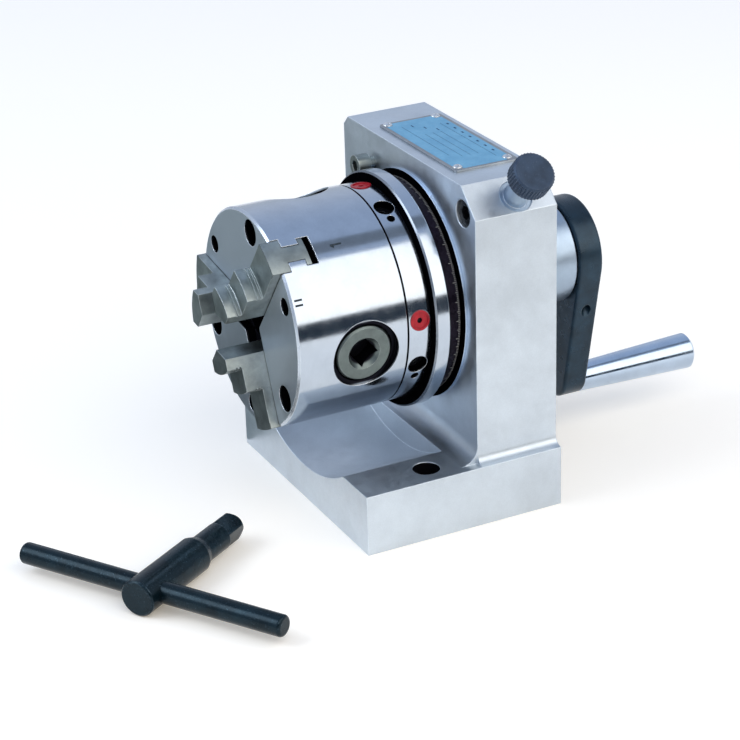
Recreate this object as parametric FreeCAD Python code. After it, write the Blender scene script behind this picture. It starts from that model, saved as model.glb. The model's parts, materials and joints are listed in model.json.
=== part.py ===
import FreeCAD, Part
import math
import os

from FreeCAD import Vector

# Horizontal-axis indexing fixture: an L-shaped housing carries a spindle with a three-jaw
# scroll chuck in front, a graduated dial against the wall and a crank behind, and the
# chuck's T-handled key lies beside it.  Millimetres.  The spindle axis is parallel to Y,
# the chuck faces -Y, +Z is up, and z = 0 is the underside of the base.  Stations along Y
# are counted from the base's front face; save() then moves every piece so that the
# origin is the centre of the underside.

# Housing
BASE_WIDTH = 104.0
BASE_DEPTH = 79.0
BASE_HEIGHT = 23.0
TOTAL_HEIGHT = 125.5
AXIS_HEIGHT = 76.0
WALL_FRONT = 46.5
WALL_BACK = BASE_DEPTH
WALL_LEFT = -BASE_WIDTH / 2
WALL_RIGHT = 48.2
RIGHT_CHAMFER = 10.0
LEFT_CHAMFER = 3.5
FOOT_FILLET = 6.5
SIDE_COVE = BASE_WIDTH / 2 - WALL_RIGHT
RELIEF_RADIUS = 62.5
RELIEF_END = WALL_FRONT - FOOT_FILLET
BASE_HOLE_X = 42.4
BASE_HOLE_Y = 28.7
BASE_HOLE_RADIUS = 5.0
EDGE_BREAK = 0.6

# Stations along the spindle axis, front to back
CHUCK_FRONT = -18.2
SLOT_HEAD_FLOOR = -14.4
SLOT_TEE_FRONT = -8.2
SCROLL_CEILING = -6.0
SLOT_TEE_BACK = -3.7
PINION_Y = 7.8
PLATE_SPIGOT_FRONT = 21.5
PLATE_FRONT = 24.3
PLATE_BACK = 33.4
FLANGE_BACK = 39.2
DIAL_BACK = 45.2
DATUM_FRONT = 45.5
FRONT_BEARING_Y = 49.0
CAVITY_FRONT = 59.0
INDEX_PLATE_FRONT = 61.5
INDEX_PLATE_BACK = 68.5
REAR_BEARING_Y = 71.0
COVER_WEB_FRONT = 80.0
COVER_BACK = 82.0
TAIL_START = 83.0
BUSH_FRONT = 98.0
HUB_BACK = 106.0
ARM_FRONT = 106.3
ARM_BACK = 116.3

# Bearings (bore radius, outer radius, width)
FRONT_BEARING = (15.0, 27.5, 9.0)
REAR_BEARING = (12.5, 21.0, 9.0)

# Spindle, dial and rear cover
FLANGE_RADIUS = 43.6
NECK_RADIUS = 20.0
LIP_RADIUS = 23.0
DIAL_RADIUS = 40.0
DATUM_RADIUS = 42.4
CAVITY_RADIUS = 36.0
COVER_RADIUS = 42.0
HUB_RADIUS = 19.0
TAIL_RADIUS = 10.0
BUSH_RADIUS = 13.0
THROUGH_BORE_RADIUS = 8.0
SPINDLE_BORE_END = 60.0
REGISTER_RADIUS = 18.0
REGISTER_DEPTH = 3.0
RUNNING_CLEARANCE = 0.05
RING_CHAMBER_RADIUS = 15.5
COVER_SCREW_CIRCLE = 39.0
COVER_SCREW_COUNT = 6
COVER_THREAD_RADIUS = 1.7
COVER_SINK_DEPTH = 2.0

# Indexing
NOTCH_COUNT = 24
INDEX_RADIUS = 33.5
NOTCH_WIDTH = 4.7
NOTCH_DEPTH = 4.5
PLUNGER_ANGLE = 45.0
PLUNGER_Y = (INDEX_PLATE_FRONT + INDEX_PLATE_BACK) / 2
PLUNGER_TIP_RADIUS = 2.25
PLUNGER_NOSE_RADIUS = 4.0
PLUNGER_STEM_RADIUS = 2.5
PLUNGER_TIP = 29.5
PLUNGER_SHOULDER = 34.3
SPRING_START = 46.0
SPRING_END = 61.0
SLEEVE_START = 45.0
SLEEVE_COLLAR = 62.6
SLEEVE_END = 72.5
SLEEVE_RADIUS = 6.0
COLLAR_RADIUS = 4.5
KNOB_START = 73.0
KNOB_END = 80.3
KNOB_RADIUS = 7.7
KNOB_BLIND = 2.5
KNURL_COUNT = 40

# Chuck
CHUCK_RADIUS = 40.0
JAW_ANGLES = (52.5, 172.5, 292.5)
PINION_OFFSET = -60.0
CHUCK_SCREW_OFFSET = 30.5
SMALL_HOLE_OFFSET = -25.5
SMALL_HOLE_RADIUS = 3.2
JOINT_GROOVE_WIDTH = 0.5
JOINT_GROOVE_DEPTH = 1.3
SMALL_HOLE_END = CHUCK_FRONT + 11.0
FACE_HOLE_CIRCLE = 34.0
CAVITY_R = 31.0
HUB_R = 12.4
JAW_WIDTH = 13.0
WEB_WIDTH = 6.0
TEE_WIDTH = 10.7
SIDE_GAP = 0.25
JAW_TIP = 8.3
JAW_STEPS = ((17.4, -33.0), (25.6, -27.5), (CHUCK_RADIUS, -21.5))
STEP_SLOT_WIDTH = 0.55
STEP_SLOT_DEPTH = 0.5
STEP_SLOT_PLACES = (3.4, 4.7)
JAW_FAR_FRONT = -45.0
SCROLL_PITCH = 4.0
RIDGE_WIDTH = 1.7
RIDGE_FRONT = -5.8
RIDGE_FLOOR = -3.6
RIDGE_INNER = 14.6
RIDGE_OUTER = 29.6
SCROLL_RADIUS = 30.6
TOOTH_THICKNESS = 1.2
TOOTH_WIDTH = 7.0
TOOTH_ARC_RADIUS = 19.0
CROWN_TEETH = 48
PINION_TEETH = 10
GEAR_OUTER = 30.4
GEAR_INNER = 23.0
PINION_R = 10.5
SPOTFACE_RADIUS = 12.7
SPOTFACE_DEPTH = 37.4
SQUARE = 8.0
SOCKET_TURN = 40.0

# Crank and key
CRANK_THROW = 55.0
BOSS_RADIUS = 20.0
ARM_END_RADIUS = 9.5
ARM_END_LIFT = 4.7
HANDLE_LENGTH = 53.5
HANDLE_NECK_RADIUS = 5.5
HANDLE_END_RADIUS = 7.1
HANDLE_PIN_RADIUS = 3.0
HANDLE_GROOVE_RADIUS = 2.5
HANDLE_RING_RADIUS = 3.5
HANDLE_RECESS_RADIUS = 3.8
KEY_ANGLE = 32.4
KEY_BODY_RADIUS = 6.7
KEY_BAR_RADIUS = 3.9
KEY_BAR_LENGTH = 108.0
KEY_CENTRE = (45.8, -79.7)

AXIS = Vector(0, 0, AXIS_HEIGHT)
Y = Vector(0, 1, 0)
Z = Vector(0, 0, 1)


def cyl_y(radius, y0, y1, x=0.0, z=AXIS_HEIGHT):
    return Part.makeCylinder(radius, y1 - y0, Vector(x, y0, z), Y)


def ring_y(outer, inner, y0, y1):
    return cyl_y(outer, y0, y1).cut(cyl_y(inner, y0 - 1, y1 + 1))


def box(x0, x1, y0, y1, z0, z1):
    return Part.makeBox(x1 - x0, y1 - y0, z1 - z0, Vector(x0, y0, z0))


def around(shape, degrees):
    """Turn a shape built towards +X about the spindle axis, from +X towards +Z."""
    turned = shape.copy()
    turned.rotate(AXIS, Y, -degrees)
    return turned


def radial_cyl(radius, r0, r1, y, offset=0.0):
    """A cylinder along +X from radius r0 to r1 of the spindle axis."""
    start = Vector(r0, y, AXIS_HEIGHT + offset)
    return Part.makeCylinder(radius, r1 - r0, start, Vector(1, 0, 0))


def revolve_y(profile):
    """Revolve (radius, y) corners about the spindle axis."""
    corners = [Vector(r, y, AXIS_HEIGHT) for r, y in profile]
    face = Part.Face(Part.makePolygon(corners + corners[:1]))
    return face.revolve(AXIS, Y, 360)


def prism(points, direction):
    """Extrude a closed polygon of 3D corners along a vector."""
    face = Part.Face(Part.makePolygon(points + points[:1]))
    return face.extrude(direction)


def hexagon_y(across_flats, y0, y1, x=0.0, z=AXIS_HEIGHT):
    corner = across_flats / math.sqrt(3)
    angles = [math.radians(60 * i) for i in range(6)]
    points = [Vector(x + corner * math.cos(a), y0, z + corner * math.sin(a)) for a in angles]
    return prism(points, Vector(0, y1 - y0, 0))


def socket_screw(x, z, shank_r, head_r, head_y, head_length, shank_length, socket):
    """Cap screw along Y, with its head's open end facing -Y at head_y."""
    seat = head_y + head_length
    screw = cyl_y(head_r, head_y, seat, x, z)
    screw = screw.fuse(cyl_y(shank_r, seat, seat + shank_length, x, z))
    hexagon = hexagon_y(socket, head_y - 1, head_y + head_length * 0.6, x, z)
    return screw.removeSplitter().cut(hexagon)


def group(shapes):
    return Part.makeCompound(shapes)


def save(name, shape):
    placed = shape.copy()
    placed.translate(Vector(0, -BASE_DEPTH / 2, 0))
    placed.exportStep("parts/" + name + ".step")


# ---------------------------------------------------------------- housing and fixed pieces

def wall_profile():
    """Front view of the upright wall, from the underside to the top."""
    return [
        Vector(WALL_LEFT, WALL_FRONT, 0),
        Vector(WALL_RIGHT, WALL_FRONT, 0),
        Vector(WALL_RIGHT, WALL_FRONT, TOTAL_HEIGHT - RIGHT_CHAMFER),
        Vector(WALL_RIGHT - RIGHT_CHAMFER, WALL_FRONT, TOTAL_HEIGHT),
        Vector(WALL_LEFT + LEFT_CHAMFER, WALL_FRONT, TOTAL_HEIGHT),
        Vector(WALL_LEFT, WALL_FRONT, TOTAL_HEIGHT - LEFT_CHAMFER),
    ]


def cove(corner, u, v, radius, length):
    """Concave fillet bar: fills the inner corner between directions u and v."""
    a = corner + u * radius
    b = corner + v * radius
    centre = corner + u * radius + v * radius
    middle = centre - (u + v).normalize() * radius
    edges = [
        Part.LineSegment(corner, a).toShape(),
        Part.Arc(a, middle, b).toShape(),
        Part.LineSegment(b, corner).toShape(),
    ]
    return Part.Face(Part.Wire(edges)).extrude(length)


def plunger_cyl(radius, t0, t1):
    """A cylinder along the plunger's axis, between two distances from the spindle axis."""
    return around(radial_cyl(radius, t0, t1, PLUNGER_Y), PLUNGER_ANGLE)


LOCK_SCREW_T = 56.0
LOCK_SCREW_X = LOCK_SCREW_T * math.cos(math.radians(PLUNGER_ANGLE))
LOCK_SCREW_Z = AXIS_HEIGHT + LOCK_SCREW_T * math.sin(math.radians(PLUNGER_ANGLE))
LOCK_HEAD_RADIUS = 5.0
LOCK_HEAD_DEPTH = 7.0
LOCK_SHANK_RADIUS = 3.0
STOP_SCREW_X = -28.5
STOP_SCREW_Z = 113.5
STOP_SHANK_RADIUS = 2.5
PLATE_CENTRE = (-2.6, 63.7)
PLATE_SIZE = (58.6, 25.4)
PLATE_THICKNESS = 0.7
PLATE_SCREW_CENTRE = (-3.6, 63.7)
PLATE_SCREW_SPACING = (53.0, 20.0)
PLATE_SCREW_RADIUS = 0.9
PLATE_SCREW_DEPTH = 4.0


def plate_screw_places():
    dx, dy = PLATE_SCREW_SPACING[0] / 2, PLATE_SCREW_SPACING[1] / 2
    cx, cy = PLATE_SCREW_CENTRE
    return [(cx + sx * dx, cy + sy * dy) for sx in (-1, 1) for sy in (-1, 1)]


def cover_screw_angles():
    return [30 + 360 / COVER_SCREW_COUNT * i for i in range(COVER_SCREW_COUNT)]


def housing():
    half = BASE_WIDTH / 2
    body = box(-half, half, 0, BASE_DEPTH, 0, BASE_HEIGHT)
    body = body.fuse(prism(wall_profile(), Vector(0, WALL_BACK - WALL_FRONT, 0)))
    foot = Vector(WALL_LEFT, WALL_FRONT, BASE_HEIGHT)
    along_foot = Vector(WALL_RIGHT - WALL_LEFT, 0, 0)
    body = body.fuse(cove(foot, Vector(0, -1, 0), Z, FOOT_FILLET, along_foot))
    side = Vector(WALL_RIGHT, WALL_FRONT - FOOT_FILLET, BASE_HEIGHT)
    along_side = Vector(0, WALL_BACK - WALL_FRONT + FOOT_FILLET, 0)
    side_bar = cove(side, Vector(1, 0, 0), Z, SIDE_COVE, along_side)
    body = body.fuse(side_bar.cut(box(0, half + 1, 0, WALL_FRONT, 0, TOTAL_HEIGHT)))
    body = body.removeSplitter()
    body = body.cut(cyl_y(RELIEF_RADIUS, -1, RELIEF_END))
    for x in (-BASE_HOLE_X, BASE_HOLE_X):
        hole = Part.makeCylinder(BASE_HOLE_RADIUS, BASE_HEIGHT + 2, Vector(x, BASE_HOLE_Y, -1))
        body = body.cut(hole)
    body = body.cut(cyl_y(LIP_RADIUS, WALL_FRONT - 1, WALL_BACK))
    body = body.cut(cyl_y(FRONT_BEARING[1], FRONT_BEARING_Y, WALL_BACK))
    body = body.cut(cyl_y(CAVITY_RADIUS, CAVITY_FRONT, WALL_BACK + 1))
    for angle in cover_screw_angles():
        tapped = cyl_y(COVER_THREAD_RADIUS, WALL_BACK - 9, WALL_BACK + 1, COVER_SCREW_CIRCLE)
        body = body.cut(around(tapped, angle))
    body = body.cut(plunger_cyl(PLUNGER_NOSE_RADIUS + RUNNING_CLEARANCE, 30, SLEEVE_START + 1))
    body = body.cut(plunger_cyl(SLEEVE_RADIUS, SLEEVE_START, 80))
    for radius, end, x, z in (
        (LOCK_HEAD_RADIUS, WALL_FRONT + LOCK_HEAD_DEPTH, LOCK_SCREW_X, LOCK_SCREW_Z),
        (LOCK_SHANK_RADIUS, PLUNGER_Y, LOCK_SCREW_X, LOCK_SCREW_Z),
        (STOP_SHANK_RADIUS, WALL_FRONT + 10, STOP_SCREW_X, STOP_SCREW_Z),
    ):
        body = body.cut(cyl_y(radius, WALL_FRONT - 1, end, x, z))
    for x, y in plate_screw_places():
        start = Vector(x, y, TOTAL_HEIGHT - PLATE_SCREW_DEPTH)
        body = body.cut(Part.makeCylinder(PLATE_SCREW_RADIUS, PLATE_SCREW_DEPTH + 1, start))
    return body


def name_plate():
    cx, cy = PLATE_CENTRE
    w, d = PLATE_SIZE
    top = TOTAL_HEIGHT + PLATE_THICKNESS
    plate = box(cx - w / 2, cx + w / 2, cy - d / 2, cy + d / 2, TOTAL_HEIGHT, top)
    corners = [e for e in plate.Edges if abs(e.tangentAt(e.FirstParameter).z) > 0.9]
    plate = plate.makeFillet(1.2, corners)
    for x, y in plate_screw_places():
        plate = plate.cut(Part.makeCylinder(PLATE_SCREW_RADIUS, 3, Vector(x, y, TOTAL_HEIGHT - 1)))
    return plate


def name_plate_screws():
    head_radius = 1.8
    head_rise = 0.9
    sphere_radius = (head_radius ** 2 + head_rise ** 2) / (2 * head_rise)
    screws = []
    for x, y in plate_screw_places():
        top = TOTAL_HEIGHT + PLATE_THICKNESS
        dome = Part.makeSphere(sphere_radius, Vector(x, y, top + head_rise - sphere_radius))
        dome = dome.common(Part.makeCylinder(head_radius + 1, 3, Vector(x, y, top)))
        start = Vector(x, y, TOTAL_HEIGHT - PLATE_SCREW_DEPTH)
        shank = Part.makeCylinder(PLATE_SCREW_RADIUS, top + 0.2 - start.z, start)
        slot = box(x - 2, x + 2, y - 0.2, y + 0.2, top + head_rise - 0.4, top + 2)
        screws.append(dome.fuse(shank).removeSplitter().cut(slot))
    return group(screws)


def datum_ring():
    return ring_y(DATUM_RADIUS, LIP_RADIUS + 1, DATUM_FRONT, WALL_FRONT)


def stop_screw():
    return socket_screw(STOP_SCREW_X, STOP_SCREW_Z, STOP_SHANK_RADIUS, 4.0,
                        WALL_FRONT - 7.5, 5.0, 12.0, 4.0)


def plunger_lock_screw():
    shank = PLUNGER_Y - SLEEVE_RADIUS - (WALL_FRONT + LOCK_HEAD_DEPTH)
    return socket_screw(LOCK_SCREW_X, LOCK_SCREW_Z, LOCK_SHANK_RADIUS, LOCK_HEAD_RADIUS - 0.2,
                        WALL_FRONT + 1, LOCK_HEAD_DEPTH - 1, shank, 5.0)


def plunger_sleeve():
    sleeve = plunger_cyl(SLEEVE_RADIUS, SLEEVE_START, SLEEVE_COLLAR - 1)
    sleeve = sleeve.fuse(plunger_cyl(COLLAR_RADIUS, SLEEVE_START, SLEEVE_END)).removeSplitter()
    sleeve = sleeve.cut(plunger_cyl(PLUNGER_NOSE_RADIUS + 0.1, SLEEVE_START - 1, SPRING_END))
    stem_bore = PLUNGER_STEM_RADIUS + RUNNING_CLEARANCE
    return sleeve.cut(plunger_cyl(stem_bore, SPRING_END - 1, SLEEVE_END + 1))


def plunger_spring():
    """Helical spring between the pin's shoulder and the sleeve's inner end."""
    wire_radius = 0.45
    coil_radius = 3.3
    turns = 6
    free = SPRING_END - SPRING_START - 2 * wire_radius - 0.1
    helix = Part.makeHelix(free / turns, free, coil_radius)
    start = Vector(coil_radius, 0, 0)
    circle = Part.Wire(Part.makeCircle(wire_radius, start, Y))
    coil = Part.Wire(helix.Edges).makePipeShell([circle], True, True)
    coil.rotate(Vector(0, 0, 0), Y, 90)
    coil.translate(Vector(SPRING_START + wire_radius + 0.05, PLUNGER_Y, AXIS_HEIGHT))
    return around(coil, PLUNGER_ANGLE)


# ---------------------------------------------------------------- bearings and rear cover

def bearing_parts(sizes, y):
    """Inner ring, outer ring and balls of a deep-groove bearing."""
    inner, outer, width = sizes
    pitch = (inner + outer) / 2
    ball = (outer - inner) * 0.3
    count = int(math.pi * pitch / ball * 0.62)
    race = ball + 0.06
    middle = y + width / 2
    torus = Part.makeTorus(pitch, race, Vector(0, middle, AXIS_HEIGHT), Y)
    inner_ring = ring_y(pitch - ball * 0.45, inner, y, y + width).cut(torus)
    outer_ring = ring_y(outer, pitch + ball * 0.45, y, y + width).cut(torus)
    balls = []
    for i in range(count):
        sphere = Part.makeSphere(ball, Vector(pitch, middle, AXIS_HEIGHT))
        balls.append(around(sphere, 360 / count * i))
    return inner_ring, outer_ring, group(balls)


def rear_cover():
    spigot_clearance = 0.02
    cover = cyl_y(COVER_RADIUS, WALL_BACK, COVER_BACK)
    cover = cover.fuse(cyl_y(CAVITY_RADIUS - spigot_clearance, REAR_BEARING_Y, WALL_BACK))
    cover = cover.fuse(cyl_y(HUB_RADIUS, COVER_BACK, HUB_BACK)).removeSplitter()
    outer_edges = [e for e in cover.Edges
                   if isinstance(e.Curve, Part.Circle) and abs(e.Curve.Radius - HUB_RADIUS) < 0.01
                   and abs(e.Curve.Center.y - HUB_BACK) < 0.01]
    cover = cover.makeChamfer(EDGE_BREAK, outer_edges)
    cover = cover.cut(cyl_y(REAR_BEARING[1], REAR_BEARING_Y - 1, COVER_WEB_FRONT))
    cover = cover.cut(cyl_y(RING_CHAMBER_RADIUS, COVER_WEB_FRONT - 1, TAIL_START))
    cover = cover.cut(cyl_y(TAIL_RADIUS + 1, TAIL_START - 1, HUB_BACK + 1))
    cover = cover.cut(cyl_y(BUSH_RADIUS, BUSH_FRONT, HUB_BACK + 1))
    for angle in cover_screw_angles():
        hole = cyl_y(2.2, WALL_BACK - 1, COVER_BACK + 1, COVER_SCREW_CIRCLE)
        sink_start = Vector(COVER_SCREW_CIRCLE, COVER_BACK - COVER_SINK_DEPTH, AXIS_HEIGHT)
        sink = Part.makeCone(2.2, 4.2, COVER_SINK_DEPTH, sink_start, Y)
        cover = cover.cut(around(hole.fuse(sink), angle))
    return cover


def rear_cover_screws():
    screws = []
    for angle in cover_screw_angles():
        head_start = Vector(COVER_SCREW_CIRCLE, COVER_BACK - COVER_SINK_DEPTH, AXIS_HEIGHT)
        head = Part.makeCone(2.0, 3.9, COVER_SINK_DEPTH - 0.1, head_start, Y)
        shank = cyl_y(COVER_THREAD_RADIUS, WALL_BACK - 8, COVER_BACK - 1.9, COVER_SCREW_CIRCLE)
        screw = head.fuse(shank).removeSplitter()
        screw = screw.cut(hexagon_y(2.5, COVER_BACK - 1.6, COVER_BACK + 1, COVER_SCREW_CIRCLE))
        screws.append(around(screw, angle))
    return group(screws)


def rear_bush():
    return ring_y(BUSH_RADIUS, TAIL_RADIUS + RUNNING_CLEARANCE, BUSH_FRONT, HUB_BACK)


# ---------------------------------------------------------------- spindle assembly

FLANGE_SCREW_CIRCLE = 23.0
FLANGE_SCREW_COUNT = 4
FLANGE_SCREW_RADIUS = 2.5
KEYWAY_WIDTH = 6.0
RETAINING_GROOVE_Y = COVER_WEB_FRONT + 0.1
RETAINING_THICKNESS = 1.2
RETAINING_OUTER = 14.4
RETAINING_GROOVE_DEPTH = 0.6
TAIL_SCREW_RADIUS = 3.5
HANDLE_PIN_TIP = 158.0
SET_SCREW_ANGLE = -50.5
SET_SCREW_RADIUS = 2.0


def flange_screw_angles():
    return [45 + 360 / FLANGE_SCREW_COUNT * i for i in range(FLANGE_SCREW_COUNT)]


def spindle():
    shaft = cyl_y(REGISTER_RADIUS, PLATE_BACK - REGISTER_DEPTH, PLATE_BACK)
    for radius, y0, y1 in (
        (FLANGE_RADIUS, PLATE_BACK, FLANGE_BACK),
        (NECK_RADIUS, FLANGE_BACK, FRONT_BEARING_Y),
        (FRONT_BEARING[0], FRONT_BEARING_Y, INDEX_PLATE_BACK - 0.5),
        (REAR_BEARING[0], INDEX_PLATE_BACK - 0.5, TAIL_START - 1.0),
        (TAIL_RADIUS, TAIL_START - 1.0, ARM_BACK - 0.5),
    ):
        shaft = shaft.fuse(cyl_y(radius, y0, y1))
    shaft = shaft.removeSplitter()
    rims = [e for e in shaft.Edges
            if isinstance(e.Curve, Part.Circle) and abs(e.Curve.Radius - FLANGE_RADIUS) < 0.01]
    shaft = shaft.makeChamfer(EDGE_BREAK, rims)
    shaft = shaft.cut(cyl_y(THROUGH_BORE_RADIUS, 0, SPINDLE_BORE_END))
    for angle in flange_screw_angles():
        tapped = cyl_y(FLANGE_SCREW_RADIUS, PLATE_BACK - 1, FLANGE_BACK - 0.5, FLANGE_SCREW_CIRCLE)
        shaft = shaft.cut(around(tapped, angle))
    shaft = shaft.cut(index_key())
    groove_floor = REAR_BEARING[0] - RETAINING_GROOVE_DEPTH
    groove = ring_y(REAR_BEARING[0] + 1, groove_floor, RETAINING_GROOVE_Y,
                    RETAINING_GROOVE_Y + RETAINING_THICKNESS)
    shaft = shaft.cut(groove)
    shaft = shaft.cut(cyl_y(TAIL_SCREW_RADIUS, ARM_BACK - 20, ARM_BACK))
    return shaft


def index_key():
    low = FRONT_BEARING[0] - 3.0
    return box(-KEYWAY_WIDTH / 2, KEYWAY_WIDTH / 2, INDEX_PLATE_FRONT + 0.5, INDEX_PLATE_BACK - 0.5,
               AXIS_HEIGHT + low, AXIS_HEIGHT + low + 5.5)


def index_plate():
    plate = ring_y(INDEX_RADIUS, FRONT_BEARING[0], INDEX_PLATE_FRONT, INDEX_PLATE_BACK)
    notches = []
    for i in range(NOTCH_COUNT):
        notch = box(INDEX_RADIUS - NOTCH_DEPTH, INDEX_RADIUS + 2,
                    INDEX_PLATE_FRONT - 1, INDEX_PLATE_BACK + 1,
                    AXIS_HEIGHT - NOTCH_WIDTH / 2, AXIS_HEIGHT + NOTCH_WIDTH / 2)
        notches.append(around(notch, 360 / NOTCH_COUNT * i))
    plate = plate.cut(group(notches))
    keyway = box(-KEYWAY_WIDTH / 2, KEYWAY_WIDTH / 2, INDEX_PLATE_FRONT - 1, INDEX_PLATE_BACK + 1,
                 AXIS_HEIGHT + 10, AXIS_HEIGHT + FRONT_BEARING[0] + 2.5)
    return plate.cut(keyway)


def front_spacer():
    return ring_y(19.0, FRONT_BEARING[0], FRONT_BEARING_Y + FRONT_BEARING[2], INDEX_PLATE_FRONT)


def rear_spacer():
    return ring_y(17.0, REAR_BEARING[0], INDEX_PLATE_BACK, REAR_BEARING_Y)


def retaining_ring():
    front, back = RETAINING_GROOVE_Y, RETAINING_GROOVE_Y + RETAINING_THICKNESS
    ring = ring_y(RETAINING_OUTER, REAR_BEARING[0] - RETAINING_GROOVE_DEPTH, front, back)
    return ring.cut(box(-2, 2, front - 1, back + 1, AXIS_HEIGHT, AXIS_HEIGHT + 20))


def dial_ring():
    rear_bevel = 0.5
    profile = [
        (NECK_RADIUS, FLANGE_BACK),
        (DIAL_RADIUS, FLANGE_BACK),
        (DIAL_RADIUS, DIAL_BACK - rear_bevel),
        (DIAL_RADIUS - rear_bevel, DIAL_BACK),
        (NECK_RADIUS, DIAL_BACK),
    ]
    return revolve_y(profile)


# ---------------------------------------------------------------- chuck back plate

PLATE_FEATURE_Y = (PLATE_FRONT + PLATE_BACK) / 2
ADJUSTER_ANGLES = (69.0, 159.0, 249.0, 339.0)
ADJUSTER_RADIUS = 3.7
ADJUSTER_INNER = 31.0
ADJUSTER_OUTER = 36.5
PLUG_ANGLES = (5.0, 95.0, 185.0, 275.0)
PLUG_RADIUS = 3.7
PLUG_INNER = 37.0
PIN_HOLE_STEP = -8.4
PIN_HOLE_RADIUS = 1.5
PIN_HOLE_INNER = 34.5
CHUCK_SCREW_RADIUS = 2.5
CHUCK_HEAD_RADIUS = 4.25
CHUCK_HEAD_Y = -12.0
CHUCK_HEAD_LENGTH = 5.0
CHUCK_SCREW_TIP = 31.0
COUNTERBORE_RADIUS = 4.8


def chuck_screw_angles():
    return [angle + CHUCK_SCREW_OFFSET for angle in JAW_ANGLES]


def chuck_back_plate():
    plate = revolve_y([
        (THROUGH_BORE_RADIUS, PLATE_SPIGOT_FRONT),
        (CAVITY_R - 0.05, PLATE_SPIGOT_FRONT),
        (CAVITY_R - 0.05, PLATE_FRONT),
        (CHUCK_RADIUS - 0.1, PLATE_FRONT),
        (CHUCK_RADIUS - 0.1, PLATE_BACK - 0.5),
        (CHUCK_RADIUS - 0.6, PLATE_BACK),
        (REGISTER_RADIUS, PLATE_BACK),
        (REGISTER_RADIUS, PLATE_BACK - REGISTER_DEPTH),
        (THROUGH_BORE_RADIUS, PLATE_BACK - REGISTER_DEPTH),
    ])
    for angle in flange_screw_angles():
        hole = cyl_y(FLANGE_SCREW_RADIUS, PLATE_SPIGOT_FRONT, PLATE_BACK + 1, FLANGE_SCREW_CIRCLE)
        sink_front, sink_end = PLATE_SPIGOT_FRONT - 1, PLATE_SPIGOT_FRONT + 6
        sink = cyl_y(4.6, sink_front, sink_end, FLANGE_SCREW_CIRCLE)
        plate = plate.cut(around(hole.fuse(sink), angle))
    for angle in ADJUSTER_ANGLES:
        adjuster = radial_cyl(ADJUSTER_RADIUS, ADJUSTER_INNER, 42, PLATE_FEATURE_Y)
        plate = plate.cut(around(adjuster, angle))
        small = radial_cyl(PIN_HOLE_RADIUS, PIN_HOLE_INNER, 42, PLATE_FEATURE_Y)
        plate = plate.cut(around(small, angle + PIN_HOLE_STEP))
    for angle in PLUG_ANGLES:
        plate = plate.cut(around(radial_cyl(PLUG_RADIUS, PLUG_INNER, 42, PLATE_FEATURE_Y), angle))
    for angle in chuck_screw_angles():
        tapped = cyl_y(CHUCK_SCREW_RADIUS, PLATE_FRONT - 1, CHUCK_SCREW_TIP + 0.5, FACE_HOLE_CIRCLE)
        plate = plate.cut(around(tapped, angle))
    return plate


def back_plate_screws():
    head_front = PLATE_SPIGOT_FRONT + 1
    screws = []
    for angle in flange_screw_angles():
        shank = FLANGE_BACK - 1 - (head_front + 5)
        screw = socket_screw(FLANGE_SCREW_CIRCLE, AXIS_HEIGHT, FLANGE_SCREW_RADIUS, 4.25,
                             head_front, 5.0, shank, 4.0)
        screws.append(around(screw, angle))
    return group(screws)


def adjusting_screws():
    screws = []
    for angle in ADJUSTER_ANGLES:
        screw = radial_cyl(ADJUSTER_RADIUS, ADJUSTER_INNER, ADJUSTER_OUTER, PLATE_FEATURE_Y)
        hexagon = hexagon_y(3.0, 0, 4.0, 0, 0)
        hexagon.rotate(Vector(0, 0, 0), Z, -90)
        hexagon.translate(Vector(ADJUSTER_OUTER - 3, PLATE_FEATURE_Y, AXIS_HEIGHT))
        screws.append(around(screw.cut(hexagon), angle))
    return group(screws)


def red_plugs():
    plugs = []
    for angle in PLUG_ANGLES:
        plug = radial_cyl(PLUG_RADIUS, PLUG_INNER, CHUCK_RADIUS + 0.15, PLATE_FEATURE_Y)
        dish = radial_cyl(PLUG_RADIUS - 0.7, CHUCK_RADIUS - 0.25, CHUCK_RADIUS + 2, PLATE_FEATURE_Y)
        dimple = radial_cyl(1.0, CHUCK_RADIUS - 1.2, CHUCK_RADIUS + 2, PLATE_FEATURE_Y)
        plugs.append(around(plug.cut(dish.fuse(dimple)), angle))
    return group(plugs)


# ---------------------------------------------------------------- chuck

def tee_slot():
    """Slot for one jaw, cut along +X from the bore to past the rim."""
    start, end = 0, CHUCK_RADIUS + 2
    head = JAW_WIDTH / 2 + SIDE_GAP
    web = WEB_WIDTH / 2 + SIDE_GAP
    tee = TEE_WIDTH / 2 + SIDE_GAP
    tooth = TOOTH_WIDTH / 2 + 0.5
    z = AXIS_HEIGHT
    slot = box(start, end, CHUCK_FRONT - 1, SLOT_HEAD_FLOOR, z - head, z + head)
    slot = slot.fuse(box(start, end, SLOT_HEAD_FLOOR, SLOT_TEE_FRONT, z - web, z + web))
    slot = slot.fuse(box(start, end, SLOT_TEE_FRONT, SCROLL_CEILING, z - tee, z + tee))
    slot = slot.fuse(box(start, CAVITY_R - 1, SCROLL_CEILING, SLOT_TEE_BACK, z - tooth, z + tooth))
    slot = slot.fuse(box(CAVITY_R - 1, end, SCROLL_CEILING, SLOT_TEE_BACK, z - tee, z + tee))
    return slot.removeSplitter()


PINION_FACE = 38.3
PINION_SHANK_START = 31.6
SOCKET_FLOOR = 31.2
PILOT_RADIUS = 2.5
PILOT_TIP = 10.2
RETAINER_RADIUS = 1.1
RETAINER_CIRCLE = 34.75
RETAINER_TIP = 17.4


def pinion_angles():
    return [angle + PINION_OFFSET for angle in JAW_ANGLES]


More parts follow.
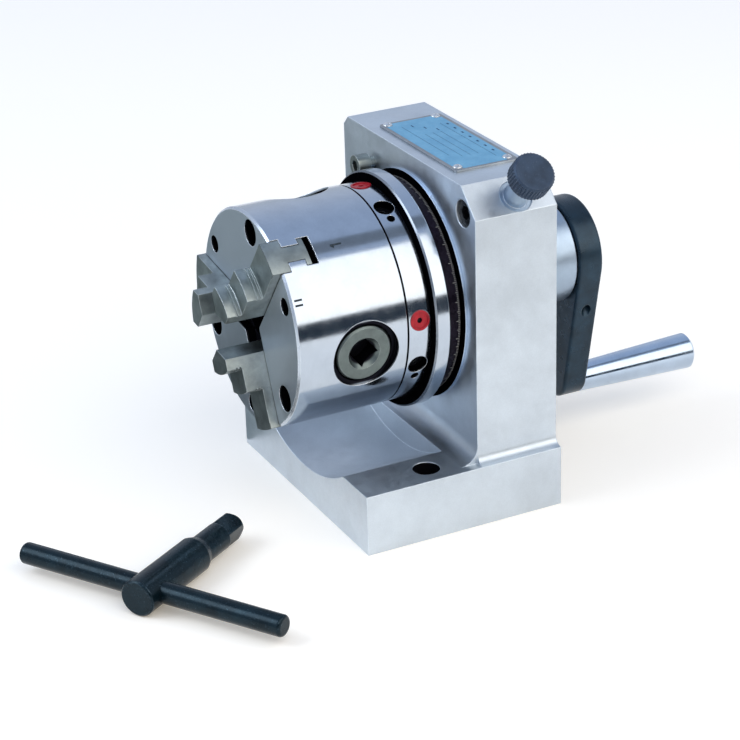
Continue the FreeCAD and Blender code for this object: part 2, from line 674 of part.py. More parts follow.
def chuck_body():
    body = revolve_y([
        (THROUGH_BORE_RADIUS, CHUCK_FRONT),
        (CHUCK_RADIUS - 0.8, CHUCK_FRONT),
        (CHUCK_RADIUS, CHUCK_FRONT + 0.8),
        (CHUCK_RADIUS, PLATE_FRONT - JOINT_GROOVE_WIDTH),
        (CHUCK_RADIUS - JOINT_GROOVE_DEPTH, PLATE_FRONT - JOINT_GROOVE_WIDTH),
        (CHUCK_RADIUS - JOINT_GROOVE_DEPTH, PLATE_FRONT),
        (CAVITY_R, PLATE_FRONT),
        (CAVITY_R, SCROLL_CEILING),
        (HUB_R, SCROLL_CEILING),
        (HUB_R, PLATE_SPIGOT_FRONT - 0.2),
        (THROUGH_BORE_RADIUS, PLATE_SPIGOT_FRONT - 0.2),
    ])
    slot = tee_slot()
    for angle in JAW_ANGLES:
        body = body.cut(around(slot, angle))
    for angle in pinion_angles():
        bore = radial_cyl(PINION_R + RUNNING_CLEARANCE, CAVITY_R - 1.5, 42, PINION_Y)
        spotface = radial_cyl(SPOTFACE_RADIUS, SPOTFACE_DEPTH, 42, PINION_Y)
        pilot = radial_cyl(PILOT_RADIUS + RUNNING_CLEARANCE, PILOT_TIP - 0.3, HUB_R + 1, PINION_Y)
        retainer = cyl_y(RETAINER_RADIUS, PINION_Y, PLATE_FRONT + 1, RETAINER_CIRCLE)
        gap = radial_cyl(PINION_R + 0.6, SPOTFACE_DEPTH - 1.8, SPOTFACE_DEPTH + 1, PINION_Y)
        body = body.cut(around(bore.fuse(spotface), angle))
        body = body.cut(around(gap, angle))
        body = body.cut(around(pilot, angle))
        body = body.cut(around(retainer, angle))
    for angle in chuck_screw_angles():
        clearance = cyl_y(CHUCK_SCREW_RADIUS + 0.2, CHUCK_FRONT, PLATE_FRONT + 1, FACE_HOLE_CIRCLE)
        seat = CHUCK_HEAD_Y + CHUCK_HEAD_LENGTH
        sink = cyl_y(COUNTERBORE_RADIUS, CHUCK_FRONT - 1, seat, FACE_HOLE_CIRCLE)
        body = body.cut(around(clearance.fuse(sink), angle))
    for jaw in JAW_ANGLES:
        small = cyl_y(SMALL_HOLE_RADIUS, CHUCK_FRONT - 1, SMALL_HOLE_END, FACE_HOLE_CIRCLE)
        body = body.cut(around(small, jaw + SMALL_HOLE_OFFSET))
    return body


def chuck_screws():
    screws = []
    shank = CHUCK_SCREW_TIP - CHUCK_HEAD_Y - CHUCK_HEAD_LENGTH
    for angle in chuck_screw_angles():
        screw = socket_screw(FACE_HOLE_CIRCLE, AXIS_HEIGHT, CHUCK_SCREW_RADIUS, CHUCK_HEAD_RADIUS,
                             CHUCK_HEAD_Y, CHUCK_HEAD_LENGTH, shank, 4.0)
        screws.append(around(screw, angle))
    return group(screws)


def pinion_retaining_pins():
    pin = cyl_y(RETAINER_RADIUS, RETAINER_TIP, PLATE_FRONT - 0.1, RETAINER_CIRCLE)
    return group([around(pin, angle) for angle in pinion_angles()])


def spiral_point(radius_shift, turn, y):
    radius = RIDGE_INNER + SCROLL_PITCH * turn + radius_shift
    angle = 2 * math.pi * turn
    return Vector(radius * math.cos(angle), y, AXIS_HEIGHT + radius * math.sin(angle))


def spiral_ridge():
    """Archimedean ridge on the scroll's front face; it winds outwards from +X towards +Z."""
    turns = (RIDGE_OUTER - RIDGE_INNER) / SCROLL_PITCH
    steps = int(turns * 24)
    half = RIDGE_WIDTH / 2
    sides = []
    for shift in (-half, half):
        curve = Part.BSplineCurve()
        along = [turns * i / steps for i in range(steps + 1)]
        curve.interpolate([spiral_point(shift, turn, RIDGE_FRONT) for turn in along])
        sides.append(curve)
    inner, outer = sides
    edges = [
        inner.toShape(),
        Part.LineSegment(inner.EndPoint, outer.EndPoint).toShape(),
        outer.toShape(),
        Part.LineSegment(outer.StartPoint, inner.StartPoint).toShape(),
    ]
    face = Part.Face(Part.Wire(Part.__sortEdges__(edges)))
    return face.extrude(Vector(0, RIDGE_FLOOR + 0.5 - RIDGE_FRONT, 0))


PITCH_SLOPE = PINION_TEETH / CROWN_TEETH
OUTER_PITCH_RADIUS = GEAR_OUTER * PITCH_SLOPE
MODULE = 2 * OUTER_PITCH_RADIUS / PINION_TEETH
CIRCULAR_PITCH = math.pi * MODULE
ADDENDUM = 0.75 * MODULE
DEDENDUM = MODULE
TOOTH_SHARE = 0.40
FLANK = math.tan(math.radians(20))


def toward_apex(section):
    """Ruled solid between a tooth section at GEAR_OUTER and its scaled copy at GEAR_INNER.

    The section's corners are (tangential, axial) measured from the gears' common apex."""
    rings = []
    for radius in (GEAR_OUTER, GEAR_INNER):
        scale = radius / GEAR_OUTER
        corners = [Vector(radius, PINION_Y + a * scale, AXIS_HEIGHT + t * scale) for t, a in section]
        rings.append(Part.makePolygon(corners + corners[:1]))
    return Part.makeLoft(rings, True, True)


def crown_tooth():
    half = CIRCULAR_PITCH * TOOTH_SHARE / 2
    root = half + DEDENDUM * FLANK
    tip = half - ADDENDUM * FLANK
    sunk = 0.25
    return toward_apex([
        (-root, -OUTER_PITCH_RADIUS - DEDENDUM - sunk),
        (root, -OUTER_PITCH_RADIUS - DEDENDUM - sunk),
        (root, -OUTER_PITCH_RADIUS - DEDENDUM),
        (tip, -OUTER_PITCH_RADIUS + ADDENDUM),
        (-tip, -OUTER_PITCH_RADIUS + ADDENDUM),
        (-root, -OUTER_PITCH_RADIUS - DEDENDUM),
    ])


def scroll_plate():
    root_slope = (OUTER_PITCH_RADIUS + DEDENDUM) / GEAR_OUTER
    outer_root = PINION_Y - root_slope * SCROLL_RADIUS
    inner_root = PINION_Y - root_slope * (GEAR_INNER - 0.4)
    bore = HUB_R + RUNNING_CLEARANCE
    disc = revolve_y([
        (bore, RIDGE_FLOOR),
        (SCROLL_RADIUS, RIDGE_FLOOR),
        (SCROLL_RADIUS, outer_root),
        (GEAR_INNER - 0.4, inner_root),
        (bore, inner_root),
    ])
    disc = disc.fuse(spiral_ridge())
    tooth = crown_tooth()
    step = 360 / CROWN_TEETH
    teeth = [around(tooth, step * (i + 0.5)) for i in range(CROWN_TEETH)]
    return disc.fuse(teeth).removeSplitter()


def pinion_tooth():
    """One tooth of the pinion's bevel head, pointing towards -Y."""
    half = CIRCULAR_PITCH * TOOTH_SHARE / 2
    root = half + 0.5 * DEDENDUM * FLANK
    tip = half - 1.1 * ADDENDUM * FLANK
    core = OUTER_PITCH_RADIUS - DEDENDUM
    return toward_apex([
        (-root, -core + 0.6),
        (root, -core + 0.6),
        (root, -core),
        (half, -OUTER_PITCH_RADIUS),
        (tip, -OUTER_PITCH_RADIUS - ADDENDUM),
        (-tip, -OUTER_PITCH_RADIUS - ADDENDUM),
        (-half, -OUTER_PITCH_RADIUS),
        (-root, -core),
    ])


def pinion(angle):
    apex = Vector(0, PINION_Y, AXIS_HEIGHT)
    outward = Vector(1, 0, 0)
    core = OUTER_PITCH_RADIUS - DEDENDUM
    inner_core = core * GEAR_INNER / GEAR_OUTER
    head = Part.makeCone(inner_core, core, GEAR_OUTER - GEAR_INNER,
                         Vector(GEAR_INNER, PINION_Y, AXIS_HEIGHT), outward)
    tooth = pinion_tooth()
    teeth = []
    for i in range(PINION_TEETH):
        copy = tooth.copy()
        copy.rotate(apex, outward, 360 / PINION_TEETH * i)
        teeth.append(copy)
    head = head.fuse(teeth)
    head = head.fuse(radial_cyl(core, GEAR_OUTER, PINION_SHANK_START, PINION_Y))
    head = head.fuse(radial_cyl(PILOT_RADIUS, PILOT_TIP, GEAR_INNER, PINION_Y))
    shank = radial_cyl(PINION_R, PINION_SHANK_START, PINION_FACE, PINION_Y)
    rim = [e for e in shank.Edges
           if isinstance(e.Curve, Part.Circle) and abs(e.Curve.Center.x - PINION_FACE) < 0.01]
    shank = shank.makeChamfer(EDGE_BREAK, rim)
    groove = radial_cyl(PINION_R + 1, 33.5, 36.0, PINION_Y).cut(radial_cyl(9.3, 33, 37, PINION_Y))
    shank = shank.cut(groove)
    whole = head.fuse(shank).removeSplitter()
    corner = Vector(SOCKET_FLOOR, PINION_Y - SQUARE / 2, AXIS_HEIGHT - SQUARE / 2)
    socket = Part.makeBox(PINION_FACE + 1 - SOCKET_FLOOR, SQUARE, SQUARE, corner)
    mouth = Part.makeCone(SQUARE * 0.55, SQUARE * 0.78, 1.9,
                          Vector(PINION_FACE - 1.8, PINION_Y, AXIS_HEIGHT), outward)
    socket.rotate(apex, outward, SOCKET_TURN)
    return around(whole.cut(socket.fuse(mouth)), angle)


def jaw_teeth(angle):
    """Arched teeth under one jaw, centred in the scroll's groove at this jaw's angle."""
    groove = RIDGE_INNER + SCROLL_PITCH * (angle / 360 + 0.5)
    first = groove - SCROLL_PITCH * math.floor((groove - JAW_TIP - 3) / SCROLL_PITCH)
    z0, z1 = AXIS_HEIGHT - TOOTH_WIDTH / 2, AXIS_HEIGHT + TOOTH_WIDTH / 2
    teeth = []
    centre = first
    while centre < CHUCK_RADIUS - 6:
        arc_centre = centre - TOOTH_ARC_RADIUS
        front, back = SCROLL_CEILING - 0.5, SLOT_TEE_BACK - 0.2
        outer = cyl_y(TOOTH_ARC_RADIUS + TOOTH_THICKNESS / 2, front, back, arc_centre)
        inner = cyl_y(TOOTH_ARC_RADIUS - TOOTH_THICKNESS / 2, front - 1, back + 1, arc_centre)
        strip = box(centre - 3, centre + 3, front, back, z0, z1)
        teeth.append(outer.cut(inner).common(strip))
        centre += SCROLL_PITCH
    return teeth


def jaw_block(x0, x1, y0, y1, width):
    """A block of the jaw, centred on its slot and running along +X."""
    return box(x0, x1, y0, y1, AXIS_HEIGHT - width / 2, AXIS_HEIGHT + width / 2)


def jaw_wedge():
    """Everything a jaw may fill: a 120 degree gripping point that opens towards +X."""
    side = 30.0
    run = side * math.tan(math.radians(30))
    z = AXIS_HEIGHT
    return prism([
        Vector(JAW_TIP, JAW_FAR_FRONT, z),
        Vector(JAW_TIP + run, JAW_FAR_FRONT, z + side),
        Vector(2 * CHUCK_RADIUS, JAW_FAR_FRONT, z + side),
        Vector(2 * CHUCK_RADIUS, JAW_FAR_FRONT, z - side),
        Vector(JAW_TIP + run, JAW_FAR_FRONT, z - side),
    ], Vector(0, -JAW_FAR_FRONT, 0))


def jaw(angle):
    end = CHUCK_RADIUS + 1
    seat = SLOT_HEAD_FLOOR - 0.1
    body = jaw_block(0, end, JAW_STEPS[-1][1], seat, JAW_WIDTH)
    start = 0
    for reach, front in JAW_STEPS:
        step = jaw_block(start, reach, front, seat, JAW_WIDTH)
        body = body.fuse(step.common(cyl_y(reach, front, seat)))
        start = reach - 4
    body = body.fuse(jaw_block(0, end, seat - 0.4, SLOT_TEE_FRONT + 0.5, WEB_WIDTH))
    body = body.fuse(jaw_block(0, end, SLOT_TEE_FRONT + 0.15, SCROLL_CEILING - 0.1, TEE_WIDTH))
    body = body.fuse(jaw_teeth(angle)).removeSplitter()
    for reach, front in JAW_STEPS[:-1]:
        for drop in STEP_SLOT_PLACES:
            slot_front = front + drop
            slot = ring_y(reach + 1, reach - STEP_SLOT_DEPTH, slot_front, slot_front + STEP_SLOT_WIDTH)
            body = body.cut(slot.common(jaw_block(0, reach + 1, slot_front, slot_front + 1, JAW_WIDTH + 2)))
    body = body.common(jaw_wedge())
    body = body.common(cyl_y(CHUCK_RADIUS - 0.1, JAW_FAR_FRONT, 0))
    return around(body, angle)


# ---------------------------------------------------------------- crank

def tangent_plate(r1, z1, r2, z2, y0, y1):
    """Plate whose outline is two circles joined by their outer tangents."""
    spacing = z1 - z2
    lean = math.asin((r1 - r2) / spacing)
    cos_l, sin_l = math.cos(lean), math.sin(lean)
    top_right = Vector(r1 * cos_l, y0, z1 + r1 * sin_l * -1)
    low_right = Vector(r2 * cos_l, y0, z2 + r2 * sin_l * -1)
    top_left = Vector(-top_right.x, y0, top_right.z)
    low_left = Vector(-low_right.x, y0, low_right.z)
    edges = [
        Part.LineSegment(low_right, top_right).toShape(),
        Part.Arc(top_right, Vector(0, y0, z1 + r1), top_left).toShape(),
        Part.LineSegment(top_left, low_left).toShape(),
        Part.Arc(low_left, Vector(0, y0, z2 - r2), low_right).toShape(),
    ]
    return Part.Face(Part.Wire(edges)).extrude(Vector(0, y1 - y0, 0))


def set_screw_hole(radius, r0, r1):
    y = (ARM_FRONT + ARM_BACK) / 2
    return around(radial_cyl(radius, r0, r1, y), SET_SCREW_ANGLE)


def crank_arm():
    pin_z = AXIS_HEIGHT - CRANK_THROW
    end_z = pin_z + ARM_END_LIFT
    arm = tangent_plate(BOSS_RADIUS, AXIS_HEIGHT, ARM_END_RADIUS, end_z, ARM_FRONT, ARM_BACK)
    arm = arm.makeFillet(1.2, arm.Edges)
    arm = arm.cut(cyl_y(TAIL_RADIUS, ARM_FRONT - 1, ARM_BACK + 1))
    arm = arm.cut(cyl_y(HANDLE_PIN_RADIUS, ARM_FRONT - 1, ARM_BACK + 1, 0, pin_z))
    return arm.cut(set_screw_hole(SET_SCREW_RADIUS, TAIL_RADIUS - 1, 30))


def crank_set_screw():
    screw = set_screw_hole(SET_SCREW_RADIUS, TAIL_RADIUS, 19.0)
    socket_hole = set_screw_hole(1.25, 16.5, 30)
    return screw.cut(socket_hole)


def crank_washer():
    return ring_y(14.0, TAIL_SCREW_RADIUS, ARM_BACK, ARM_BACK + 1.6)


def crank_end_screw():
    head_y = ARM_BACK + 1.6
    dome = Part.makeSphere(9.0, Vector(0, head_y - 5.0, AXIS_HEIGHT))
    head = dome.common(cyl_y(7.0, head_y, head_y + 8))
    screw = head.fuse(cyl_y(TAIL_SCREW_RADIUS, ARM_BACK - 18, head_y + 0.5)).removeSplitter()
    return screw.cut(hexagon_y(5.0, head_y + 1.2, head_y + 9))


HANDLE_START = ARM_BACK + 0.3
HANDLE_RING_Y = 150.0


def handle_pin():
    pin_z = AXIS_HEIGHT - CRANK_THROW
    pin = cyl_y(HANDLE_PIN_RADIUS, ARM_FRONT + 0.4, HANDLE_PIN_TIP, 0, pin_z)
    groove = cyl_y(6, HANDLE_RING_Y, HANDLE_RING_Y + 1.2, 0, pin_z)
    groove = groove.cut(cyl_y(HANDLE_GROOVE_RADIUS, HANDLE_RING_Y - 1, HANDLE_RING_Y + 2, 0, pin_z))
    return pin.cut(groove)


def handle_retaining_ring():
    pin_z = AXIS_HEIGHT - CRANK_THROW
    ring = cyl_y(HANDLE_RING_RADIUS, HANDLE_RING_Y + 0.1, HANDLE_RING_Y + 1.1, 0, pin_z)
    ring = ring.cut(cyl_y(HANDLE_GROOVE_RADIUS, HANDLE_RING_Y - 1, HANDLE_RING_Y + 2, 0, pin_z))
    return ring.cut(box(-1, 1, HANDLE_RING_Y - 1, HANDLE_RING_Y + 2, pin_z, pin_z + 8))


def crank_handle():
    """Tapered turning grip, thinner at the arm, with a domed free end."""
    pin_z = AXIS_HEIGHT - CRANK_THROW
    end = HANDLE_START + HANDLE_LENGTH
    dome = 3.2
    dome_radius = (HANDLE_END_RADIUS ** 2 + dome ** 2) / (2 * dome)
    half_way = HANDLE_END_RADIUS / 2
    half_drop = dome_radius - math.sqrt(dome_radius ** 2 - half_way ** 2)
    start = Vector(0, HANDLE_START, pin_z)
    neck = Vector(HANDLE_NECK_RADIUS - 0.8, HANDLE_START, pin_z)
    neck_side = Vector(HANDLE_NECK_RADIUS, HANDLE_START + 0.8, pin_z)
    shoulder = Vector(HANDLE_END_RADIUS, end - dome, pin_z)
    near_tip = Vector(half_way, end - half_drop, pin_z)
    tip = Vector(0, end, pin_z)
    edges = [
        Part.LineSegment(start, neck).toShape(),
        Part.LineSegment(neck, neck_side).toShape(),
        Part.LineSegment(neck_side, shoulder).toShape(),
        Part.Arc(shoulder, near_tip, tip).toShape(),
        Part.LineSegment(tip, start).toShape(),
    ]
    grip = Part.Face(Part.Wire(edges)).revolve(start, Y, 360)
    bore = HANDLE_PIN_RADIUS + RUNNING_CLEARANCE
    grip = grip.cut(cyl_y(bore, HANDLE_START - 1, HANDLE_PIN_TIP + 1, 0, pin_z))
    return grip.cut(cyl_y(HANDLE_RECESS_RADIUS, HANDLE_RING_Y - 0.3, HANDLE_RING_Y + 1.5, 0, pin_z))


# ---------------------------------------------------------------- index plunger

def index_pin():
    pin = plunger_cyl(PLUNGER_TIP_RADIUS, PLUNGER_TIP, PLUNGER_SHOULDER)
    pin = pin.fuse(plunger_cyl(PLUNGER_NOSE_RADIUS, PLUNGER_SHOULDER, SPRING_START))
    pin = pin.fuse(plunger_cyl(PLUNGER_STEM_RADIUS, SPRING_START, KNOB_END - KNOB_BLIND))
    return pin.removeSplitter()


def plunger_knob():
    knob = radial_cyl(KNOB_RADIUS, KNOB_START, KNOB_END, PLUNGER_Y)
    knob = knob.makeChamfer(0.9, [e for e in knob.Edges if isinstance(e.Curve, Part.Circle)])
    grooves = []
    for i in range(KNURL_COUNT):
        a = 2 * math.pi * i / KNURL_COUNT
        y = PLUNGER_Y + KNOB_RADIUS * math.cos(a)
        offset = KNOB_RADIUS * math.sin(a)
        start = Vector(KNOB_START - 1, y, AXIS_HEIGHT + offset)
        grooves.append(Part.makeCylinder(0.42, KNOB_END - KNOB_START + 2, start, Vector(1, 0, 0)))
    knob = knob.cut(group(grooves))
    knob = knob.cut(radial_cyl(PLUNGER_STEM_RADIUS, KNOB_START - 1, KNOB_END - KNOB_BLIND, PLUNGER_Y))
    return around(knob, PLUNGER_ANGLE)


# ---------------------------------------------------------------- chuck key

KEY_SHOULDER = 26.8
KEY_NECK_RADIUS = 5.2
KEY_NECK_END = 41.1
KEY_TIP_END = 51.4
KEY_BACK = -8.4
KEY_SQUARE = 7.8


def lay_key(shape):
    """Place a key piece, built along +Y about the origin, on the surface beside the base."""
    placed = shape.copy()
    placed.rotate(Vector(0, 0, 0), Z, KEY_ANGLE)
    placed.translate(Vector(KEY_CENTRE[0], KEY_CENTRE[1], KEY_BODY_RADIUS))
    return placed


def key_revolved(profile):
    corners = [Vector(r, y, 0) for r, y in profile]
    face = Part.Face(Part.makePolygon(corners + corners[:1]))
    return face.revolve(Vector(0, 0, 0), Y, 360)


def key_body():
    shank = key_revolved([
        (0, KEY_BACK),
        (KEY_BODY_RADIUS - 0.6, KEY_BACK),
        (KEY_BODY_RADIUS, KEY_BACK + 0.6),
        (KEY_BODY_RADIUS, KEY_SHOULDER - 0.8),
        (KEY_NECK_RADIUS + 0.6, KEY_SHOULDER + 1.6),
        (KEY_NECK_RADIUS, KEY_SHOULDER + 2.6),
        (KEY_NECK_RADIUS, KEY_NECK_END),
        (0, KEY_NECK_END),
    ])
    half = KEY_SQUARE / 2
    tip = Part.makeBox(KEY_SQUARE, KEY_TIP_END - KEY_NECK_END + 2, KEY_SQUARE,
                       Vector(-half, KEY_NECK_END - 2, -half))
    taper = key_revolved([
        (0, KEY_NECK_END - 3),
        (KEY_NECK_RADIUS, KEY_NECK_END - 3),
        (KEY_NECK_RADIUS, KEY_TIP_END - 1.6),
        (KEY_NECK_RADIUS - 1.4, KEY_TIP_END),
        (0, KEY_TIP_END),
    ])
    tip = tip.common(taper)
    tip.rotate(Vector(0, 0, 0), Y, 20)
    bar_hole = Part.makeCylinder(KEY_BAR_RADIUS, 40, Vector(-20, 0, 0), Vector(1, 0, 0))
    return lay_key(shank.fuse(tip).removeSplitter().cut(bar_hole))


def key_bar():
    start = Vector(-KEY_BAR_LENGTH / 2, 0, 0)
    bar = Part.makeCylinder(KEY_BAR_RADIUS, KEY_BAR_LENGTH, start, Vector(1, 0, 0))
    ends = [e for e in bar.Edges if isinstance(e.Curve, Part.Circle)]
    return lay_key(bar.makeFillet(1.2, ends))


# ---------------------------------------------------------------- write every node

def main():
    os.makedirs("parts", exist_ok=True)
    front_inner, front_outer, front_balls = bearing_parts(FRONT_BEARING, FRONT_BEARING_Y)
    rear_inner, rear_outer, rear_balls = bearing_parts(REAR_BEARING, REAR_BEARING_Y)
    nodes = {
        "housing": housing(),
        "name_plate": name_plate(),
        "name_plate_screws": name_plate_screws(),
        "datum_ring": datum_ring(),
        "stop_screw": stop_screw(),
        "plunger_sleeve": plunger_sleeve(),
        "plunger_lock_screw": plunger_lock_screw(),
        "plunger_spring": plunger_spring(),
        "front_bearing_inner_ring": front_inner,
        "front_bearing_outer_ring": front_outer,
        "front_bearing_balls": front_balls,
        "rear_bearing_inner_ring": rear_inner,
        "rear_bearing_outer_ring": rear_outer,
        "rear_bearing_balls": rear_balls,
        "rear_cover": rear_cover(),
        "rear_cover_screws": rear_cover_screws(),
        "rear_bush": rear_bush(),
        "spindle": spindle(),
        "index_plate": index_plate(),
        "index_key": index_key(),
        "front_spacer": front_spacer(),
        "rear_spacer": rear_spacer(),
        "retaining_ring": retaining_ring(),
        "dial_ring": dial_ring(),
        "chuck_back_plate": chuck_back_plate(),
        "back_plate_screws": back_plate_screws(),
        "adjusting_screws": adjusting_screws(),
        "red_plugs": red_plugs(),
        "chuck_body": chuck_body(),
        "chuck_screws": chuck_screws(),
        "pinion_retaining_pins": pinion_retaining_pins(),
        "scroll_plate": scroll_plate(),
        "crank_arm": crank_arm(),
        "crank_set_screw": crank_set_screw(),
        "crank_washer": crank_washer(),
        "crank_end_screw": crank_end_screw(),
        "handle_pin": handle_pin(),
        "handle_retaining_ring": handle_retaining_ring(),
        "crank_handle": crank_handle(),
        "index_pin": index_pin(),
        "plunger_knob": plunger_knob(),
        "key_body": key_body(),
        "key_bar": key_bar(),
    }
    for number, angle in enumerate(JAW_ANGLES, start=1):
        nodes["jaw_%d" % number] = jaw(angle)
        nodes["pinion_%d" % number] = pinion(angle + PINION_OFFSET)
    for name, shape in nodes.items():
        save(name, shape)


main()
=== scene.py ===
import json
import math

import bpy
from mathutils import Matrix, Vector


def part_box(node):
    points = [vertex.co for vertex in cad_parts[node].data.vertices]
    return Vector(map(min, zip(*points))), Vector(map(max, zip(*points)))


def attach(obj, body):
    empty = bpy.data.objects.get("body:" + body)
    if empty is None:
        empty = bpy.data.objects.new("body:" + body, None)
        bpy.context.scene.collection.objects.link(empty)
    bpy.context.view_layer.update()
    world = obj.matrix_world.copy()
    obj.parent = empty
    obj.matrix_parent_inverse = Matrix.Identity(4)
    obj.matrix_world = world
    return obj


# Looks for an indexing fixture with a three-jaw chuck, whose spindle lies level, and its key.
# Metres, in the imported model's frame: the spindle axis runs along Y, the chuck faces -Y
# and z = 0 is the surface that everything stands on.

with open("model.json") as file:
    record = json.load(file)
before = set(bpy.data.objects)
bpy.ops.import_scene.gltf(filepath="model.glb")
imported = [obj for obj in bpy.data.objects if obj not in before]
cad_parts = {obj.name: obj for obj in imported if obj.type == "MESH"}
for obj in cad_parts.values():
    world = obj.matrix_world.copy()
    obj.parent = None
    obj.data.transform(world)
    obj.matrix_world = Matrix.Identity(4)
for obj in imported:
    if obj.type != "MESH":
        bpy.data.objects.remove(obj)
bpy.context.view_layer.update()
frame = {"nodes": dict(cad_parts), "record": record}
NODES = frame["nodes"]

MM = 0.001


def node_middle(node):
    low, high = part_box(node)
    return (Vector(low) + Vector(high)) / 2


def disc_radius(node):
    """The radius of a round node whose axis is the spindle's."""
    low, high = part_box(node)
    return (high[0] - low[0]) / 2


def record_mount(name):
    return next(m for m in frame["record"]["mounts"] if m["name"] == name)


AXIS_Z = node_middle("dial_ring").z
CHUCK_RADIUS = disc_radius("chuck_body")
CHUCK_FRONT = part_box("chuck_body")[0][1]
CHUCK_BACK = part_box("chuck_body")[1][1]
# Printed and filled marks lie this far above the surface that carries them.
MARK_LIFT = 0.02 * MM


# ---------------------------------------------------------------- shader building

class Shader:
    """A principled material with short calls for the nodes that feed it."""

    def __init__(self, name, **sockets):
        self.material = bpy.data.materials.new(name)
        self.material.use_nodes = True
        self.tree = self.material.node_tree
        self.surface = self.tree.nodes["Principled BSDF"]
        for socket, value in sockets.items():
            self.surface.inputs[socket.replace("_", " ")].default_value = value
        self.place = self.add("ShaderNodeTexCoord").outputs["Object"]

    def add(self, kind, inputs=(), **settings):
        node = self.tree.nodes.new(kind)
        for name, value in settings.items():
            setattr(node, name, value)
        for name, value in dict(inputs).items():
            self.feed(node.inputs[name], value)
        return node

    def feed(self, socket, value):
        if isinstance(value, bpy.types.NodeSocket):
            self.tree.links.new(value, socket)
        else:
            socket.default_value = value

    def to_surface(self, socket, value):
        self.feed(self.surface.inputs[socket], value)

    def stretch(self, scales):
        return self.add("ShaderNodeMapping", {"Vector": self.place, "Scale": scales}).outputs[0]

    def noise(self, scale, detail=3.0, roughness=0.55, vector=None):
        inputs = {
            "Vector": vector or self.place,
            "Scale": scale,
            "Detail": detail,
            "Roughness": roughness,
        }
        return self.add("ShaderNodeTexNoise", inputs).outputs["Fac"]

    def math(self, operation, a, b=0.0, clamp=False):
        node = self.add("ShaderNodeMath", operation=operation, use_clamp=clamp)
        self.feed(node.inputs[0], a)
        self.feed(node.inputs[1], b)
        return node.outputs[0]

    def remap(self, value, low, high, to_low=0.0, to_high=1.0):
        inputs = {
            "Value": value,
            "From Min": low,
            "From Max": high,
            "To Min": to_low,
            "To Max": to_high,
        }
        return self.add("ShaderNodeMapRange", inputs).outputs[0]

    def length(self, a, b):
        """The square root of a squared plus b squared."""
        squares = self.math("ADD", self.math("MULTIPLY", a, a), self.math("MULTIPLY", b, b))
        return self.math("SQRT", squares)

    def vary(self, noise, low=0.0, high=1.0):
        """Spread a noise's usual range, 0.3 to 0.7, over low to high."""
        return self.remap(noise, 0.3, 0.7, low, high)

    def mix(self, amount, a, b, blend="MIX"):
        node = self.add("ShaderNodeMix", data_type="RGBA", blend_type=blend)
        self.feed(node.inputs[0], amount)
        self.feed(node.inputs[6], a)
        self.feed(node.inputs[7], b)
        return node.outputs[2]

    def shaded(self, colour, factor):
        """A colour made darker or lighter by a factor."""
        even = self.add("ShaderNodeCombineColor", {0: factor, 1: factor, 2: factor}).outputs[0]
        return self.mix(1.0, colour, even, blend="MULTIPLY")

    def wired(self, socket):
        """The output that feeds one of the surface's sockets so far."""
        return self.surface.inputs[socket].links[0].from_socket

    def roughen(self, amount):
        rough = self.math("ADD", self.wired("Roughness"), amount, clamp=True)
        self.to_surface("Roughness", rough)

    def coordinates(self):
        return self.add("ShaderNodeSeparateXYZ", {"Vector": self.place}).outputs

    def edges(self, radius, gain=5.0):
        """1 on the convex and concave edges that a bevel of this radius would round."""
        bevel = self.add("ShaderNodeBevel", {"Radius": radius}, samples=6)
        flat = self.add("ShaderNodeNewGeometry").outputs["Normal"]
        dot = self.add("ShaderNodeVectorMath", operation="DOT_PRODUCT")
        self.feed(dot.inputs[0], bevel.outputs[0])
        self.feed(dot.inputs[1], flat)
        away = self.math("SUBTRACT", 1.0, dot.outputs["Value"])
        return bevel.outputs[0], self.math("MULTIPLY", away, gain, clamp=True)

    def bump(self, height, distance, normal):
        inputs = {"Height": height, "Distance": distance, "Normal": normal, "Strength": 1.0}
        return self.add("ShaderNodeBump", inputs).outputs[0]


def grey(value, blue=0.0):
    """A neutral colour, with some of its red moved to blue."""
    return (value * (1 - blue), value, value * (1 + blue), 1.0)


# Scales of the tool marks' noise along X, Y and Z: a larger number gives finer marks.
TURNED = (60.0, 9000.0, 60.0)
GROUND_X = (70.0, 3000.0, 3000.0)
EVEN = (1500.0, 1500.0, 1500.0)
FINE_GROUND = (900.0, 900.0, 900.0)


def metal(name, colour, rough, edge_wear_and_highlight, grain=EVEN, depth=0.002, spread=0.08, edge=0.35,
          mottle=0.10, mottle_scale=90.0):
    """Bare metal: tool marks, cloudy tone, uneven gloss, and paler edges that are partly rubbed bare
    and partly a painted highlight.

    depth is the height of the tool marks in millimetres, edge the rounding at corners."""
    s = Shader(name, Metallic=1.0)
    marks = s.noise(1.0, detail=2.0, vector=s.stretch(grain))
    clouds = s.noise(mottle_scale, detail=5.0, roughness=0.6)
    specks = s.noise(2600.0, detail=1.0)
    rounded, at_edge = s.edges(edge * MM)
    factor = s.vary(clouds, 1.0 - mottle, 1.0 + mottle * 0.4)
    factor = s.math("MULTIPLY", factor, s.vary(specks, 0.965, 1.02))
    tone = s.shaded(colour, factor)
    # Edge colour: partly rubbed metal and partly a painted highlight along the corners.
    patchy = s.remap(s.noise(420.0, detail=4.0, roughness=0.7), 0.4, 0.62)
    wear_and_highlight = s.math("MULTIPLY", at_edge, s.remap(patchy, 0.0, 1.0, 0.45, 1.0), clamp=True)
    s.to_surface("Base Color", s.mix(wear_and_highlight, tone, edge_wear_and_highlight))
    uneven = s.remap(s.noise(230.0, detail=5.0), 0.25, 0.75, rough - spread / 2, rough + spread)
    uneven = s.math("ADD", uneven, s.vary(marks, -spread / 4, spread / 4), clamp=True)
    s.to_surface("Roughness", uneven)
    s.to_surface("Normal", s.bump(marks, depth * MM, rounded))
    return s


